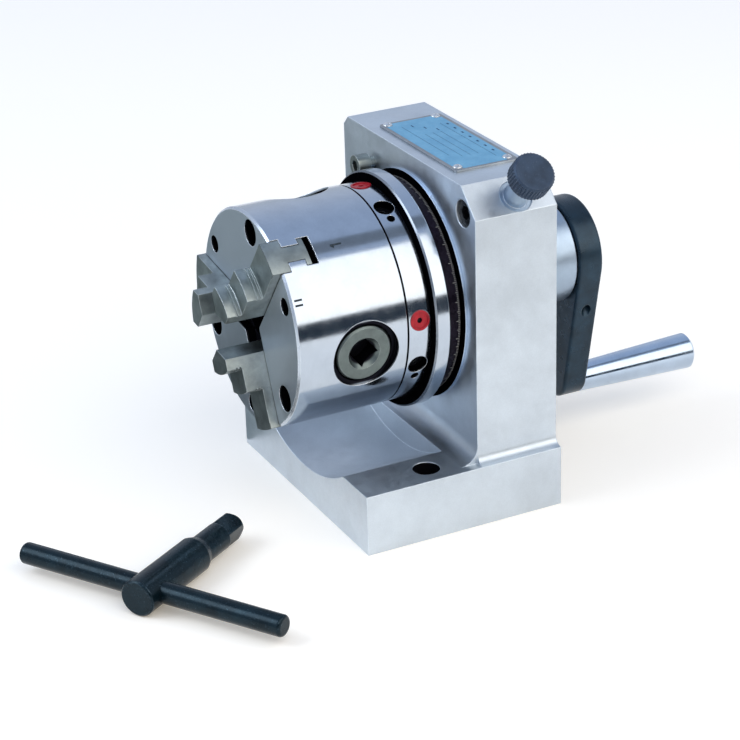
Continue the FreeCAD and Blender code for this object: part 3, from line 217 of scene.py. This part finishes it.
def blackened(name, colour, rough, edge_wear_and_highlight, wear_edge=0.35, speckle=0.4, grain=EVEN, specular=0.6):
    """Black-oxide steel: a dark satin skin, tiny pale specks, and grey steel at rubbed edges."""
    s = Shader(name, Metallic=0.55, Specular_IOR_Level=specular)
    rounded, at_edge = s.edges(wear_edge * MM, gain=3.0)
    patchy = s.noise(700.0, detail=5.0, roughness=0.7)
    wear_and_highlight = s.math("MULTIPLY", at_edge, s.remap(patchy, 0.45, 0.62))
    pits = s.noise(1900.0, detail=3.0, roughness=0.7)
    specks = s.remap(pits, 0.62, 0.74, 0.0, speckle)
    cover = s.math("MAXIMUM", wear_and_highlight, specks)
    clouds = s.vary(s.noise(120.0, detail=4.0), 0.7, 1.5)
    s.to_surface("Base Color", s.mix(cover, s.shaded(colour, clouds), edge_wear_and_highlight))
    s.to_surface("Roughness", s.vary(s.noise(300.0, detail=4.0), rough - 0.06, rough + 0.1))
    marks = s.noise(1.0, detail=2.0, vector=s.stretch(grain))
    height = s.math("ADD", marks, s.math("MULTIPLY", pits, 0.8))
    s.to_surface("Normal", s.bump(height, 0.012 * MM, rounded))
    return s


# ---------------------------------------------------------------- the object's materials

STEEL = (0.49, 0.55, 0.63, 1.0)
FACE_STEEL_PAINTED_LIGHTER = grey(0.76, 0.08)
BRIGHT = grey(0.90, 0.03)
WHITE = (1.0, 1.0, 1.0, 1.0)
BLACK = (0.0, 0.0, 0.0, 1.0)
SHADE_AND_BLACK_FINISH = (0.010, 0.010, 0.014, 1.0)


def darken(s, amount):
    """Black out colour and reflection where amount is 1: painted shade in holes, slots, sockets and
    gaps, and the black finish of some faces.
    """
    s.to_surface("Base Color", s.mix(amount, s.wired("Base Color"), SHADE_AND_BLACK_FINISH))
    s.to_surface("Specular Tint", s.mix(amount, WHITE, BLACK))
    s.roughen(s.math("MULTIPLY", amount, 0.25))


def front_facing(s):
    """1 on faces that look along -Y, the way the chuck's own front face does."""
    normal = s.add("ShaderNodeNewGeometry").outputs["True Normal"]
    along_y = s.add("ShaderNodeSeparateXYZ", {"Vector": normal}).outputs[1]
    return s.remap(along_y, -0.5, -0.9)


def from_axis(s):
    """Distance from the spindle axis, and the place along it."""
    x, y, z = s.coordinates()
    return s.length(x, s.math("SUBTRACT", z, AXIS_Z)), y


def recesses(s, node):
    """1 in the holes and slots of a disc about the spindle axis: whatever is inside its outline."""
    low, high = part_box(node)
    reach, y = from_axis(s)
    inside = s.math("SUBTRACT", disc_radius(node), reach)
    inside = s.math("MINIMUM", inside, s.math("SUBTRACT", y, low[1]))
    inside = s.math("MINIMUM", inside, s.math("SUBTRACT", high[1], y))
    starts, full = 0.35 * MM, 0.8 * MM
    return s.remap(inside, starts, full)


def paint_shade_in_bolt_holes(s):
    """Painted shade inside the two upright holes in the base."""
    bolts = record_mount("base_bolts")
    middle, sizes = bolts["pos_m"], bolts["dims"]
    hole_radius = sizes["hole_r_mm"] * MM
    ledge_top = 2 * middle[2]
    x, y, z = s.coordinates()
    off_x = s.math("SUBTRACT", s.math("ABSOLUTE", x), sizes["spacing_x_mm"] * MM / 2)
    off_y = s.math("SUBTRACT", y, middle[1])
    in_hole = s.remap(s.length(off_x, off_y), hole_radius + 0.3 * MM, hole_radius + 0.1 * MM)
    below = s.math("LESS_THAN", z, ledge_top - 0.3 * MM)
    darken(s, s.math("MULTIPLY", below, in_hole))


def ground_housing():
    """Fine-ground steel with a soft satin grain, slightly rounded corners painted brighter, partly
    rubbing and partly a painted highlight, and painted shade in its bolt holes.
    """
    s = metal("ground_housing", grey(0.68, 0.09), rough=0.40, grain=FINE_GROUND, depth=0.004,
              spread=0.10, edge=0.55, edge_wear_and_highlight=(0.84, 0.92, 1.0, 1.0), mottle=0.12, mottle_scale=55.0)
    # Painted shade inside the base's bolt holes.
    paint_shade_in_bolt_holes(s)
    return s.material


def plate_steel():
    """Cylindrically ground steel, with painted shade in its recesses, on its faces that look along -Y
    and in the joint to the chuck body.
    """
    s = metal("plate_steel", STEEL, rough=0.13, grain=TURNED, depth=0.0003, spread=0.05,
              edge=0.3, edge_wear_and_highlight=BRIGHT, mottle=0.06, mottle_scale=140.0)
    # Painted shade: black in the recesses, on the faces turned into the joint groove, and along the
    # joint itself.
    y = from_axis(s)[1]
    at_joint = s.math("LESS_THAN", y, CHUCK_BACK + 0.25 * MM)
    dark = s.math("MAXIMUM", recesses(s, "chuck_back_plate"), front_facing(s))
    darken(s, s.math("MAXIMUM", dark, at_joint))
    return s.material


def chuck_steel():
    """The chuck body: polished round the rim, duller on its front face, whose colour is also painted
    paler as painted light, with painted shade in its holes and slots.
    """
    s = metal("chuck_steel", STEEL, rough=0.12, grain=TURNED, depth=0.0003, spread=0.05,
              edge=0.35, edge_wear_and_highlight=BRIGHT, mottle=0.07, mottle_scale=140.0)
    on_face = front_facing(s)
    s.roughen(s.math("MULTIPLY", on_face, 0.24))
    # Painted light: the front face's colour is made paler than the rim's steel.
    paler = s.mix(s.math("MULTIPLY", on_face, 0.6), s.wired("Base Color"), FACE_STEEL_PAINTED_LIGHTER)
    s.to_surface("Base Color", paler)
    # Painted shade in the chuck body's holes and slots.
    darken(s, recesses(s, "chuck_body"))
    return s.material


def jaw_steel():
    """Ground jaws, with a painted shade line where their outer ends meet the slots."""
    s = metal("jaw_steel", (0.36, 0.405, 0.40, 1.0), rough=0.33, grain=GROUND_X, depth=0.004,
              spread=0.12, edge=0.3, edge_wear_and_highlight=(0.62, 0.68, 0.68, 1.0), mottle=0.34, mottle_scale=160.0)
    # Painted shade along the edges of the jaws' outer ends.
    at_edge = s.edges(0.35 * MM)[1]
    at_end = s.remap(from_axis(s)[0], CHUCK_RADIUS - 2.2 * MM, CHUCK_RADIUS - 1.8 * MM)
    darken(s, s.math("MULTIPLY", at_edge, at_end))
    return s.material


def pinion_steel():
    """Grey steel with painted shade inside the key sockets."""
    s = metal("pinion_steel", (0.15, 0.18, 0.175, 1.0), rough=0.34, grain=EVEN, depth=0.003,
              spread=0.1, edge=0.35, edge_wear_and_highlight=(0.52, 0.56, 0.54, 1.0), mottle=0.20, mottle_scale=260.0)
    mouth = record_mount("key_socket")["pos_m"]
    face = math.hypot(mouth[0], mouth[2] - AXIS_Z)
    darken(s, s.remap(from_axis(s)[0], face - 0.9 * MM, face - 1.5 * MM))
    return s.material


def stop_steel():
    s = metal("stop_steel", (0.27, 0.30, 0.285, 1.0), rough=0.34, grain=EVEN, depth=0.003,
              spread=0.1, edge=0.35, edge_wear_and_highlight=(0.62, 0.66, 0.64, 1.0), mottle=0.20, mottle_scale=260.0)
    return s.material


def bright_fastener():
    s = metal("bright_fastener", grey(0.76, 0.02), rough=0.24, depth=0.002, edge=0.2, edge_wear_and_highlight=BRIGHT)
    return s.material


def inner_steel():
    s = metal("inner_steel", grey(0.55, 0.02), rough=0.28, grain=TURNED, depth=0.001, edge=0.2,
              edge_wear_and_highlight=BRIGHT)
    return s.material


def bronze():
    s = metal("bronze", (0.66, 0.42, 0.18, 1.0), rough=0.32, grain=TURNED, depth=0.001,
              edge_wear_and_highlight=(0.85, 0.62, 0.30, 1.0))
    return s.material


def handle_chrome():
    s = metal("handle_chrome", (0.50, 0.60, 0.73, 1.0), rough=0.13, grain=TURNED, depth=0.0003,
              spread=0.09, edge=0.4, edge_wear_and_highlight=BRIGHT, mottle=0.10, mottle_scale=120.0)
    return s.material


def black_datum():
    """Black front face inside a bare, polished rim."""
    s = metal("black_datum", (0.50, 0.62, 0.80, 1.0), rough=0.16, grain=TURNED, depth=0.0006,
              edge_wear_and_highlight=BRIGHT)
    darken(s, front_facing(s))
    return s.material


def satin_turned():
    s = metal("satin_turned", (0.38, 0.47, 0.58, 1.0), rough=0.36, grain=TURNED, depth=0.0012,
              spread=0.08, edge=0.35, edge_wear_and_highlight=BRIGHT, mottle=0.08, mottle_scale=120.0)
    return s.material


def plate_rim():
    s = metal("plate_rim", grey(0.36, 0.06), rough=0.34, grain=EVEN, depth=0.001, spread=0.08,
              edge=0.2, edge_wear_and_highlight=(0.7, 0.74, 0.78, 1.0), mottle=0.2, mottle_scale=220.0)
    return s.material


def spindle_steel():
    """Polished rim and shaft; the shoulder that faces the chuck's back plate is black."""
    s = metal("spindle_steel", STEEL, rough=0.13, grain=TURNED, depth=0.0003, spread=0.05,
              edge=0.3, edge_wear_and_highlight=BRIGHT, mottle=0.06, mottle_scale=140.0)
    darken(s, front_facing(s))
    return s.material


def black_dial():
    s = blackened("black_dial", (0.010, 0.007, 0.014, 1.0), rough=0.26, edge_wear_and_highlight=(0.30, 0.34, 0.42, 1.0),
                  wear_edge=0.25, speckle=0.05, grain=TURNED, specular=0.12)
    return s.material


def black_arm():
    s = blackened("black_arm", (0.009, 0.026, 0.044, 1.0), rough=0.30, edge_wear_and_highlight=(0.10, 0.17, 0.20, 1.0),
                  wear_edge=0.5, speckle=0.15)
    return s.material


def black_knob():
    s = blackened("black_knob", (0.026, 0.046, 0.082, 1.0), rough=0.42, edge_wear_and_highlight=(0.20, 0.25, 0.34, 1.0),
                  wear_edge=0.3, speckle=0.35)
    return s.material


def black_key():
    s = blackened("black_key", (0.004, 0.014, 0.021, 1.0), rough=0.22, edge_wear_and_highlight=(0.20, 0.31, 0.40, 1.0),
                  wear_edge=0.5, speckle=0.4, specular=0.35)
    return s.material


def black_screw():
    s = blackened("black_screw", (0.008, 0.009, 0.012, 1.0), rough=0.26, edge_wear_and_highlight=(0.12, 0.14, 0.15, 1.0),
                  wear_edge=0.25, speckle=0.1, specular=0.4)
    return s.material


def red_enamel():
    """Sealing enamel, a little uneven, with painted shade in the dimple at its middle."""
    s = Shader("red_enamel", Coat_Weight=0.1, Coat_Roughness=0.12, Specular_IOR_Level=0.25)
    cloud = s.noise(500.0, detail=4.0)
    deep, light = (0.25, 0.005, 0.012, 1.0), (0.42, 0.012, 0.024, 1.0)
    s.to_surface("Base Color", s.mix(s.vary(cloud), deep, light))
    s.to_surface("Roughness", s.vary(cloud, 0.28, 0.42))
    normal = s.add("ShaderNodeBevel", {"Radius": 0.2 * MM}).outputs[0]
    s.to_surface("Normal", s.bump(cloud, 0.04 * MM, normal))
    # Painted shade in the dimple.
    darken(s, s.remap(from_axis(s)[0], CHUCK_RADIUS - 0.5 * MM, CHUCK_RADIUS - 0.9 * MM))
    return s.material


def plate_blue():
    """Printed blue foil with a soft silk grain."""
    s = Shader("plate_blue", Metallic=0.35)
    cloud = s.noise(160.0, detail=4.0)
    deep, light = (0.105, 0.325, 0.520, 1.0), (0.155, 0.410, 0.610, 1.0)
    s.to_surface("Base Color", s.mix(s.vary(cloud), deep, light))
    s.to_surface("Roughness", s.vary(s.noise(900.0), 0.34, 0.48))
    silk = s.noise(1.0, vector=s.stretch((200.0, 4000.0, 4000.0)))
    s.to_surface("Normal", s.bump(silk, 0.004 * MM, s.add("ShaderNodeNewGeometry").outputs["Normal"]))
    return s.material


def ink(name, colour):
    """Engraved or printed marks, broken up slightly where the fill is thin."""
    s = Shader(name, Specular_IOR_Level=0.15)
    thin = s.remap(s.noise(1800.0, detail=3.0), 0.55, 0.75)
    faded = tuple(c * 0.6 + 0.06 for c in colour[:3]) + (1.0,)
    s.to_surface("Base Color", s.mix(thin, colour, faded))
    s.to_surface("Roughness", s.vary(s.noise(700.0), 0.45, 0.65))
    return s.material


def dress(look, *nodes):
    """Give CAD nodes one material."""
    for node in nodes:
        data = NODES[node].data
        data.materials.clear()
        data.materials.append(look)


def dress_nodes():
    dress(ground_housing(), "housing")
    dress(chuck_steel(), "chuck_body")
    dress(plate_steel(), "chuck_back_plate")
    dress(satin_turned(), "rear_cover", "plunger_sleeve")
    dress(plate_rim(), "name_plate")
    dress(spindle_steel(), "spindle")
    dress(handle_chrome(), "crank_handle")
    dress(jaw_steel(), "jaw_1", "jaw_2", "jaw_3", "scroll_plate")
    dress(pinion_steel(), "pinion_1", "pinion_2", "pinion_3")
    dress(stop_steel(), "stop_screw")
    dress(black_dial(), "dial_ring")
    dress(black_datum(), "datum_ring")
    dress(black_arm(), "crank_arm", "crank_washer")
    dress(black_knob(), "plunger_knob")
    dress(black_key(), "key_body", "key_bar")
    dress(black_screw(), "chuck_screws", "adjusting_screws", "plunger_lock_screw",
          "back_plate_screws", "crank_set_screw", "crank_end_screw", "rear_cover_screws")
    dress(bright_fastener(), "name_plate_screws", "index_pin", "handle_pin",
          "index_key", "pinion_retaining_pins", "plunger_spring", "retaining_ring",
          "handle_retaining_ring")
    dress(inner_steel(), "front_bearing_outer_ring", "front_bearing_inner_ring",
          "front_bearing_balls", "rear_bearing_outer_ring", "rear_bearing_inner_ring",
          "rear_bearing_balls", "front_spacer", "rear_spacer", "index_plate")
    dress(bronze(), "rear_bush")
    dress(red_enamel(), "red_plugs")


# ---------------------------------------------------------------- marks and thin pieces

def new_piece(name, vertices, faces, look, body, slot):
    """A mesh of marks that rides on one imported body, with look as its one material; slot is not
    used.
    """
    mesh = bpy.data.meshes.new(name)
    mesh.from_pydata(vertices, [], faces)
    mesh.update()
    piece = bpy.data.objects.new(name, mesh)
    bpy.context.scene.collection.objects.link(piece)
    mesh.materials.append(look)
    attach(piece, body)


def around_axis(radius, angle, y):
    """A point on a cylinder about the spindle axis; the angle goes from +X towards +Z."""
    return Vector((radius * math.cos(angle), y, AXIS_Z + radius * math.sin(angle)))


def rim_mark(radius, y0, y1, middle, half_angle):
    """The four corners of a straight mark on a cylinder about the spindle axis."""
    first, last = middle - half_angle, middle + half_angle
    return [around_axis(radius, first, y0), around_axis(radius, first, y1),
            around_axis(radius, last, y1), around_axis(radius, last, y0)]


def join_quads(quads):
    """The vertices and faces of one mesh made of separate four-cornered marks."""
    vertices = [corner for quad in quads for corner in quad]
    faces = [tuple(range(start, start + 4)) for start in range(0, len(vertices), 4)]
    return vertices, faces


def dial_graduations(white):
    """One mark for every degree, with longer ones at five and ten."""
    radius = disc_radius("dial_ring") + MARK_LIFT
    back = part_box("dial_ring")[1][1] - 0.55 * MM
    half_angle = 0.09 * MM / radius
    lengths = {10: 1.5 * MM, 5: 1.1 * MM, 1: 0.7 * MM}
    marks = []
    for degree in range(360):
        length = next(lengths[every] for every in lengths if degree % every == 0)
        marks.append(rim_mark(radius, back - length, back, math.radians(degree), half_angle))
    new_piece("dial_graduations", *join_quads(marks), white, "spindle_group", "blackened_steel")


def datum_marks(white):
    """The fixed reference marks on the rim of the ring behind the dial."""
    low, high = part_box("datum_ring")
    radius = disc_radius("datum_ring") + MARK_LIFT
    start, end = low[1] + 0.15 * MM, high[1] - 0.1 * MM
    half_angle = 0.10 * MM / radius
    middle, step, each_side = 62, 0.9, 5
    marks = []
    for i in range(-each_side, each_side + 1):
        marks.append(rim_mark(radius, start, end, math.radians(middle + step * i), half_angle))
    new_piece("datum_marks", *join_quads(marks), white, "fixture_body", "blackened_steel")


# Strokes of the jaw numbers, across and along, for a height of 1.
NUMERAL_SHAPES = {
    "one": [(-0.24, 0.72), (0.0, 1.0), (0.0, 0.0)],
    "two": [(-0.30, 0.76), (-0.15, 0.98), (0.14, 0.98), (0.30, 0.74), (0.22, 0.50), (-0.32, 0.0),
            (0.34, 0.0)],
    "three": [(-0.28, 0.88), (0.0, 1.0), (0.27, 0.84), (0.24, 0.62), (0.0, 0.54), (0.30, 0.38),
              (0.28, 0.12), (0.0, 0.0), (-0.30, 0.12)],
}


def jaw_angles(first):
    """An angle beside the first jaw and the same place beside the other two, in degrees."""
    return [first + 120.0 * i for i in range(3)]


def stroke_quads(points, width):
    """A four-cornered patch for each leg of a line, as lists of (across, along) pairs."""
    quads = []
    for (x0, y0), (x1, y1) in zip(points, points[1:]):
        half_share = width / 2 / math.hypot(x1 - x0, y1 - y0)
        side_x, side_y = (y0 - y1) * half_share, (x1 - x0) * half_share
        quads.append([(x0 + side_x, y0 + side_y), (x1 + side_x, y1 + side_y),
                      (x1 - side_x, y1 - side_y), (x0 - side_x, y0 - side_y)])
    return quads


def chuck_numerals(dark):
    """Jaw numbers beside their slots, their tops towards the chuck's front face."""
    radius = CHUCK_RADIUS + MARK_LIFT
    foot = CHUCK_FRONT + 25.0 * MM
    height, stroke = 4.2 * MM, 0.17
    marks = []
    for shape, degrees in zip(NUMERAL_SHAPES.values(), jaw_angles(52.4)):
        for quad in stroke_quads(shape, stroke):
            bent = [around_axis(radius, math.radians(degrees) + across * height / radius,
                                foot - along * height) for across, along in quad]
            marks.append(bent)
    new_piece("jaw_numerals", *join_quads(marks), dark, "spindle_group", "polished_steel")


def chuck_witness_marks(dark):
    """Pairs of short strokes near the front edge of the rim."""
    radius = CHUCK_RADIUS + MARK_LIFT
    start, end = CHUCK_FRONT + 1.5 * MM, CHUCK_FRONT + 4.4 * MM
    half_angle = 0.36 * MM / radius
    half_gap = 0.9 * MM / radius
    marks = []
    for degrees in jaw_angles(27.1):
        for offset in (-half_gap, half_gap):
            marks.append(rim_mark(radius, start, end, math.radians(degrees) + offset, half_angle))
    new_piece("witness_strokes", *join_quads(marks), dark, "spindle_group", "polished_steel")


def name_plate_print(blue, dark):
    """A blue printed field inside a bare rim, with blank ruled lines and boxes."""
    low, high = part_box("name_plate")
    margin = 1.3 * MM
    x0, x1 = low[0] + margin, high[0] - margin
    y0, y1 = low[1] + margin, high[1] - margin
    z = high[2] + MARK_LIFT
    corner = 2.6 * MM
    outline = [
        (x0 + corner, y0), (x1 - corner, y0), (x1 - corner, y0 + corner), (x1, y0 + corner),
        (x1, y1 - corner), (x1 - corner, y1 - corner), (x1 - corner, y1), (x0 + corner, y1),
        (x0 + corner, y1 - corner), (x0, y1 - corner), (x0, y0 + corner), (x0 + corner, y0 + corner),
    ]
    field = [Vector((x, y, z)) for x, y in outline]
    new_piece("plate_field", field, [tuple(range(len(field)))], blue, "fixture_body", "plate_blue")
    width, depth = x1 - x0, y1 - y0
    bars = []
    # Ruled lines: how far up the field each one lies, and where it starts and ends across it.
    lines = ((0.20, 0.10, 0.74), (0.36, 0.30, 0.80), (0.50, 0.30, 0.80), (0.64, 0.30, 0.80),
             (0.82, 0.16, 0.90))
    for share_up, start, end in lines:
        bars.append((x0 + start * width, x0 + end * width, y0 + share_up * depth, 0.16 * MM))
    # A row of small boxes along the top of the field.
    for i in range(7):
        left = x0 + (0.18 + 0.10 * i) * width
        bars.append((left, left + 1.6 * MM, y0 + 0.90 * depth, 0.75 * MM))
    # A longer box beside each of the three middle lines, stepped to the right.
    for i in range(3):
        left = x0 + (0.10 + 0.07 * i) * width
        bars.append((left, left + 2.2 * MM, y0 + (0.36 + 0.14 * i) * depth, 0.5 * MM))
    marks = []
    for left, right, y, thick in bars:
        corners = [(left, y), (right, y), (right, y + thick), (left, y + thick)]
        marks.append([Vector((px, py, z + MARK_LIFT)) for px, py in corners])
    new_piece("plate_rules", *join_quads(marks), dark, "fixture_body", "plate_blue")


def add_marks():
    white = ink("white_fill", (0.36, 0.36, 0.34, 1.0))
    dark = ink("dark_fill", (0.02, 0.03, 0.04, 1.0))
    navy = ink("navy_print", (0.015, 0.06, 0.14, 1.0))
    dial_graduations(white)
    datum_marks(white)
    chuck_numerals(dark)
    chuck_witness_marks(dark)
    name_plate_print(plate_blue(), navy)


# ---------------------------------------------------------------- floor, light and camera

def emission(name, colour):
    material = bpy.data.materials.new(name)
    material.use_nodes = True
    tree = material.node_tree
    tree.nodes.clear()
    glow = tree.nodes.new("ShaderNodeEmission")
    glow.inputs["Color"].default_value = colour
    out = tree.nodes.new("ShaderNodeOutputMaterial")
    tree.links.new(glow.outputs[0], out.inputs["Surface"])
    return material


def aim(item, place, target):
    """Put an object at place, with its -Z towards target."""
    item.rotation_mode = "QUATERNION"
    item.rotation_quaternion = (Vector(target) - Vector(place)).to_track_quat("-Z", "Y")
    item.location = place


def studio_card(name, place, target, size, colour):
    """A reflector or flag beside the set: seen only as a reflection in the metal."""
    half_w, half_h = size[0] / 2, size[1] / 2
    mesh = bpy.data.meshes.new(name)
    corners = [(-half_w, -half_h, 0), (half_w, -half_h, 0), (half_w, half_h, 0), (-half_w, half_h, 0)]
    mesh.from_pydata(corners, [], [(0, 1, 2, 3)])
    mesh.materials.append(emission(name, colour))
    card = bpy.data.objects.new(name, mesh)
    bpy.context.scene.collection.objects.link(card)
    aim(card, place, target)
    for rays in ("visible_camera", "visible_diffuse", "visible_shadow", "visible_transmission"):
        setattr(card, rays, False)


def softbox(name, place, target, size, power, colour):
    """A rectangular lamp, hidden from the camera; size is in metres and power in watts."""
    light = bpy.data.lights.new(name, "AREA")
    light.shape = "RECTANGLE"
    light.size, light.size_y = size
    light.energy = power
    light.color = colour
    lamp = bpy.data.objects.new(name, light)
    bpy.context.scene.collection.objects.link(lamp)
    aim(lamp, place, target)
    lamp.visible_camera = False


def pale_floor():
    """A warm white floor that glows a little, so that it stays pale under the object."""
    mesh = bpy.data.meshes.new("floor")
    reach = 4.0
    corners = [(-reach, -reach, 0), (reach, -reach, 0), (reach, reach, 0), (-reach, reach, 0)]
    mesh.from_pydata(corners, [], [(0, 1, 2, 3)])
    floor = bpy.data.objects.new("floor", mesh)
    bpy.context.scene.collection.objects.link(floor)
    s = Shader("floor", Roughness=0.9, Specular_IOR_Level=0.1)
    s.to_surface("Base Color", (0.95, 0.93, 0.89, 1.0))
    s.to_surface("Emission Color", (1.0, 0.84, 0.60, 1.0))
    s.to_surface("Emission Strength", 0.17)
    mesh.materials.append(s.material)


def world_light():
    """Pale blue-grey studio walls, brightest half way up.

    Heights run from 0 at the horizon to 1 straight overhead."""
    horizon, half_way, high_up = 0.0, 0.42, 0.85
    world = bpy.data.worlds.new("studio")
    bpy.context.scene.world = world
    world.use_nodes = True
    tree = world.node_tree
    back = tree.nodes["Background"]
    place = tree.nodes.new("ShaderNodeTexCoord")
    parts = tree.nodes.new("ShaderNodeSeparateXYZ")
    ramp = tree.nodes.new("ShaderNodeValToRGB")
    tree.links.new(place.outputs["Generated"], parts.inputs[0])
    tree.links.new(parts.outputs["Z"], ramp.inputs["Fac"])
    tree.links.new(ramp.outputs["Color"], back.inputs["Color"])
    stops = ramp.color_ramp.elements
    stops[0].position = horizon
    stops[0].color = (0.66, 0.72, 0.82, 1.0)
    stops[1].position = high_up
    stops[1].color = (0.54, 0.66, 0.88, 1.0)
    stops.new(half_way).color = (0.74, 0.82, 0.98, 1.0)
    back.inputs["Strength"].default_value = 0.85


def key_light():
    """One long, tilted softbox parallel to the spindle; it draws the bright band on the chuck."""
    place = Vector((0.66, 0.42, 0.56))
    slope = Vector((0.80, 0.0, 0.60))
    softbox("key_softbox", place, place - slope, (1.5, 0.92), 6.6, (1.0, 0.91, 0.76))


def front_light():
    """A cooler softbox, further off, in front of the chuck."""
    target = (0.0, 0.0, 0.07)
    softbox("front_fill", (-0.35, -1.2, 1.1), target, (1.0, 0.8), 9.5, (0.88, 0.94, 1.0))


def flags():
    """Dark strips that edge the bright band, and mats that tone the front faces."""
    dark = (0.02, 0.035, 0.055, 1.0)
    blue_grey = (0.20, 0.24, 0.30, 1.0)
    grey_green = (0.22, 0.27, 0.29, 1.0)
    slate = (0.07, 0.085, 0.095, 1.0)
    studio_card("low_flag", (0.32, 0.20, 0.076), (0.0, 0.20, 0.076), (1.2, 0.093), dark)
    studio_card("high_flag", (0.17, 0.45, 1.0), (0.17, 0.45, 0.0), (0.22, 1.8), blue_grey)
    studio_card("left_mat", (-0.28, -0.22, 0.002), (-0.28, -0.22, 1.0), (0.46, 0.54), grey_green)
    studio_card("near_mat", (-0.075, -0.14, 0.004), (-0.075, -0.14, 1.0), (0.15, 0.13), slate)


def camera():
    """A three-quarter view from the right of the chuck, looking down."""
    azimuth, elevation, roll = math.radians(63.695), math.radians(24.672), math.radians(-1.774)
    focal_over_width = 3.1967
    half_depth = node_middle("housing").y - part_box("housing")[0][1]
    place = Vector((0.70784, -0.32139 - half_depth, 0.40756))
    back = Vector((math.sin(azimuth) * math.cos(elevation),
                   -math.cos(azimuth) * math.cos(elevation),
                   math.sin(elevation)))
    level = Vector((math.cos(azimuth), math.sin(azimuth), 0.0))
    upright = back.cross(level)
    right = level * math.cos(roll) + upright * math.sin(roll)
    up = upright * math.cos(roll) - level * math.sin(roll)
    turn = Matrix((right, up, back)).transposed()
    data = bpy.data.cameras.new("camera")
    data.sensor_width = 36.0
    data.lens = data.sensor_width * focal_over_width
    data.clip_start = 0.01
    data.clip_end = 20.0
    eye = bpy.data.objects.new("camera", data)
    eye.matrix_world = Matrix.Translation(place) @ turn.to_4x4()
    bpy.context.scene.collection.objects.link(eye)
    bpy.context.scene.camera = eye


dress_nodes()
add_marks()
pale_floor()
world_light()
key_light()
flags()
front_light()
camera()
bpy.context.scene.view_settings.view_transform = "Standard"
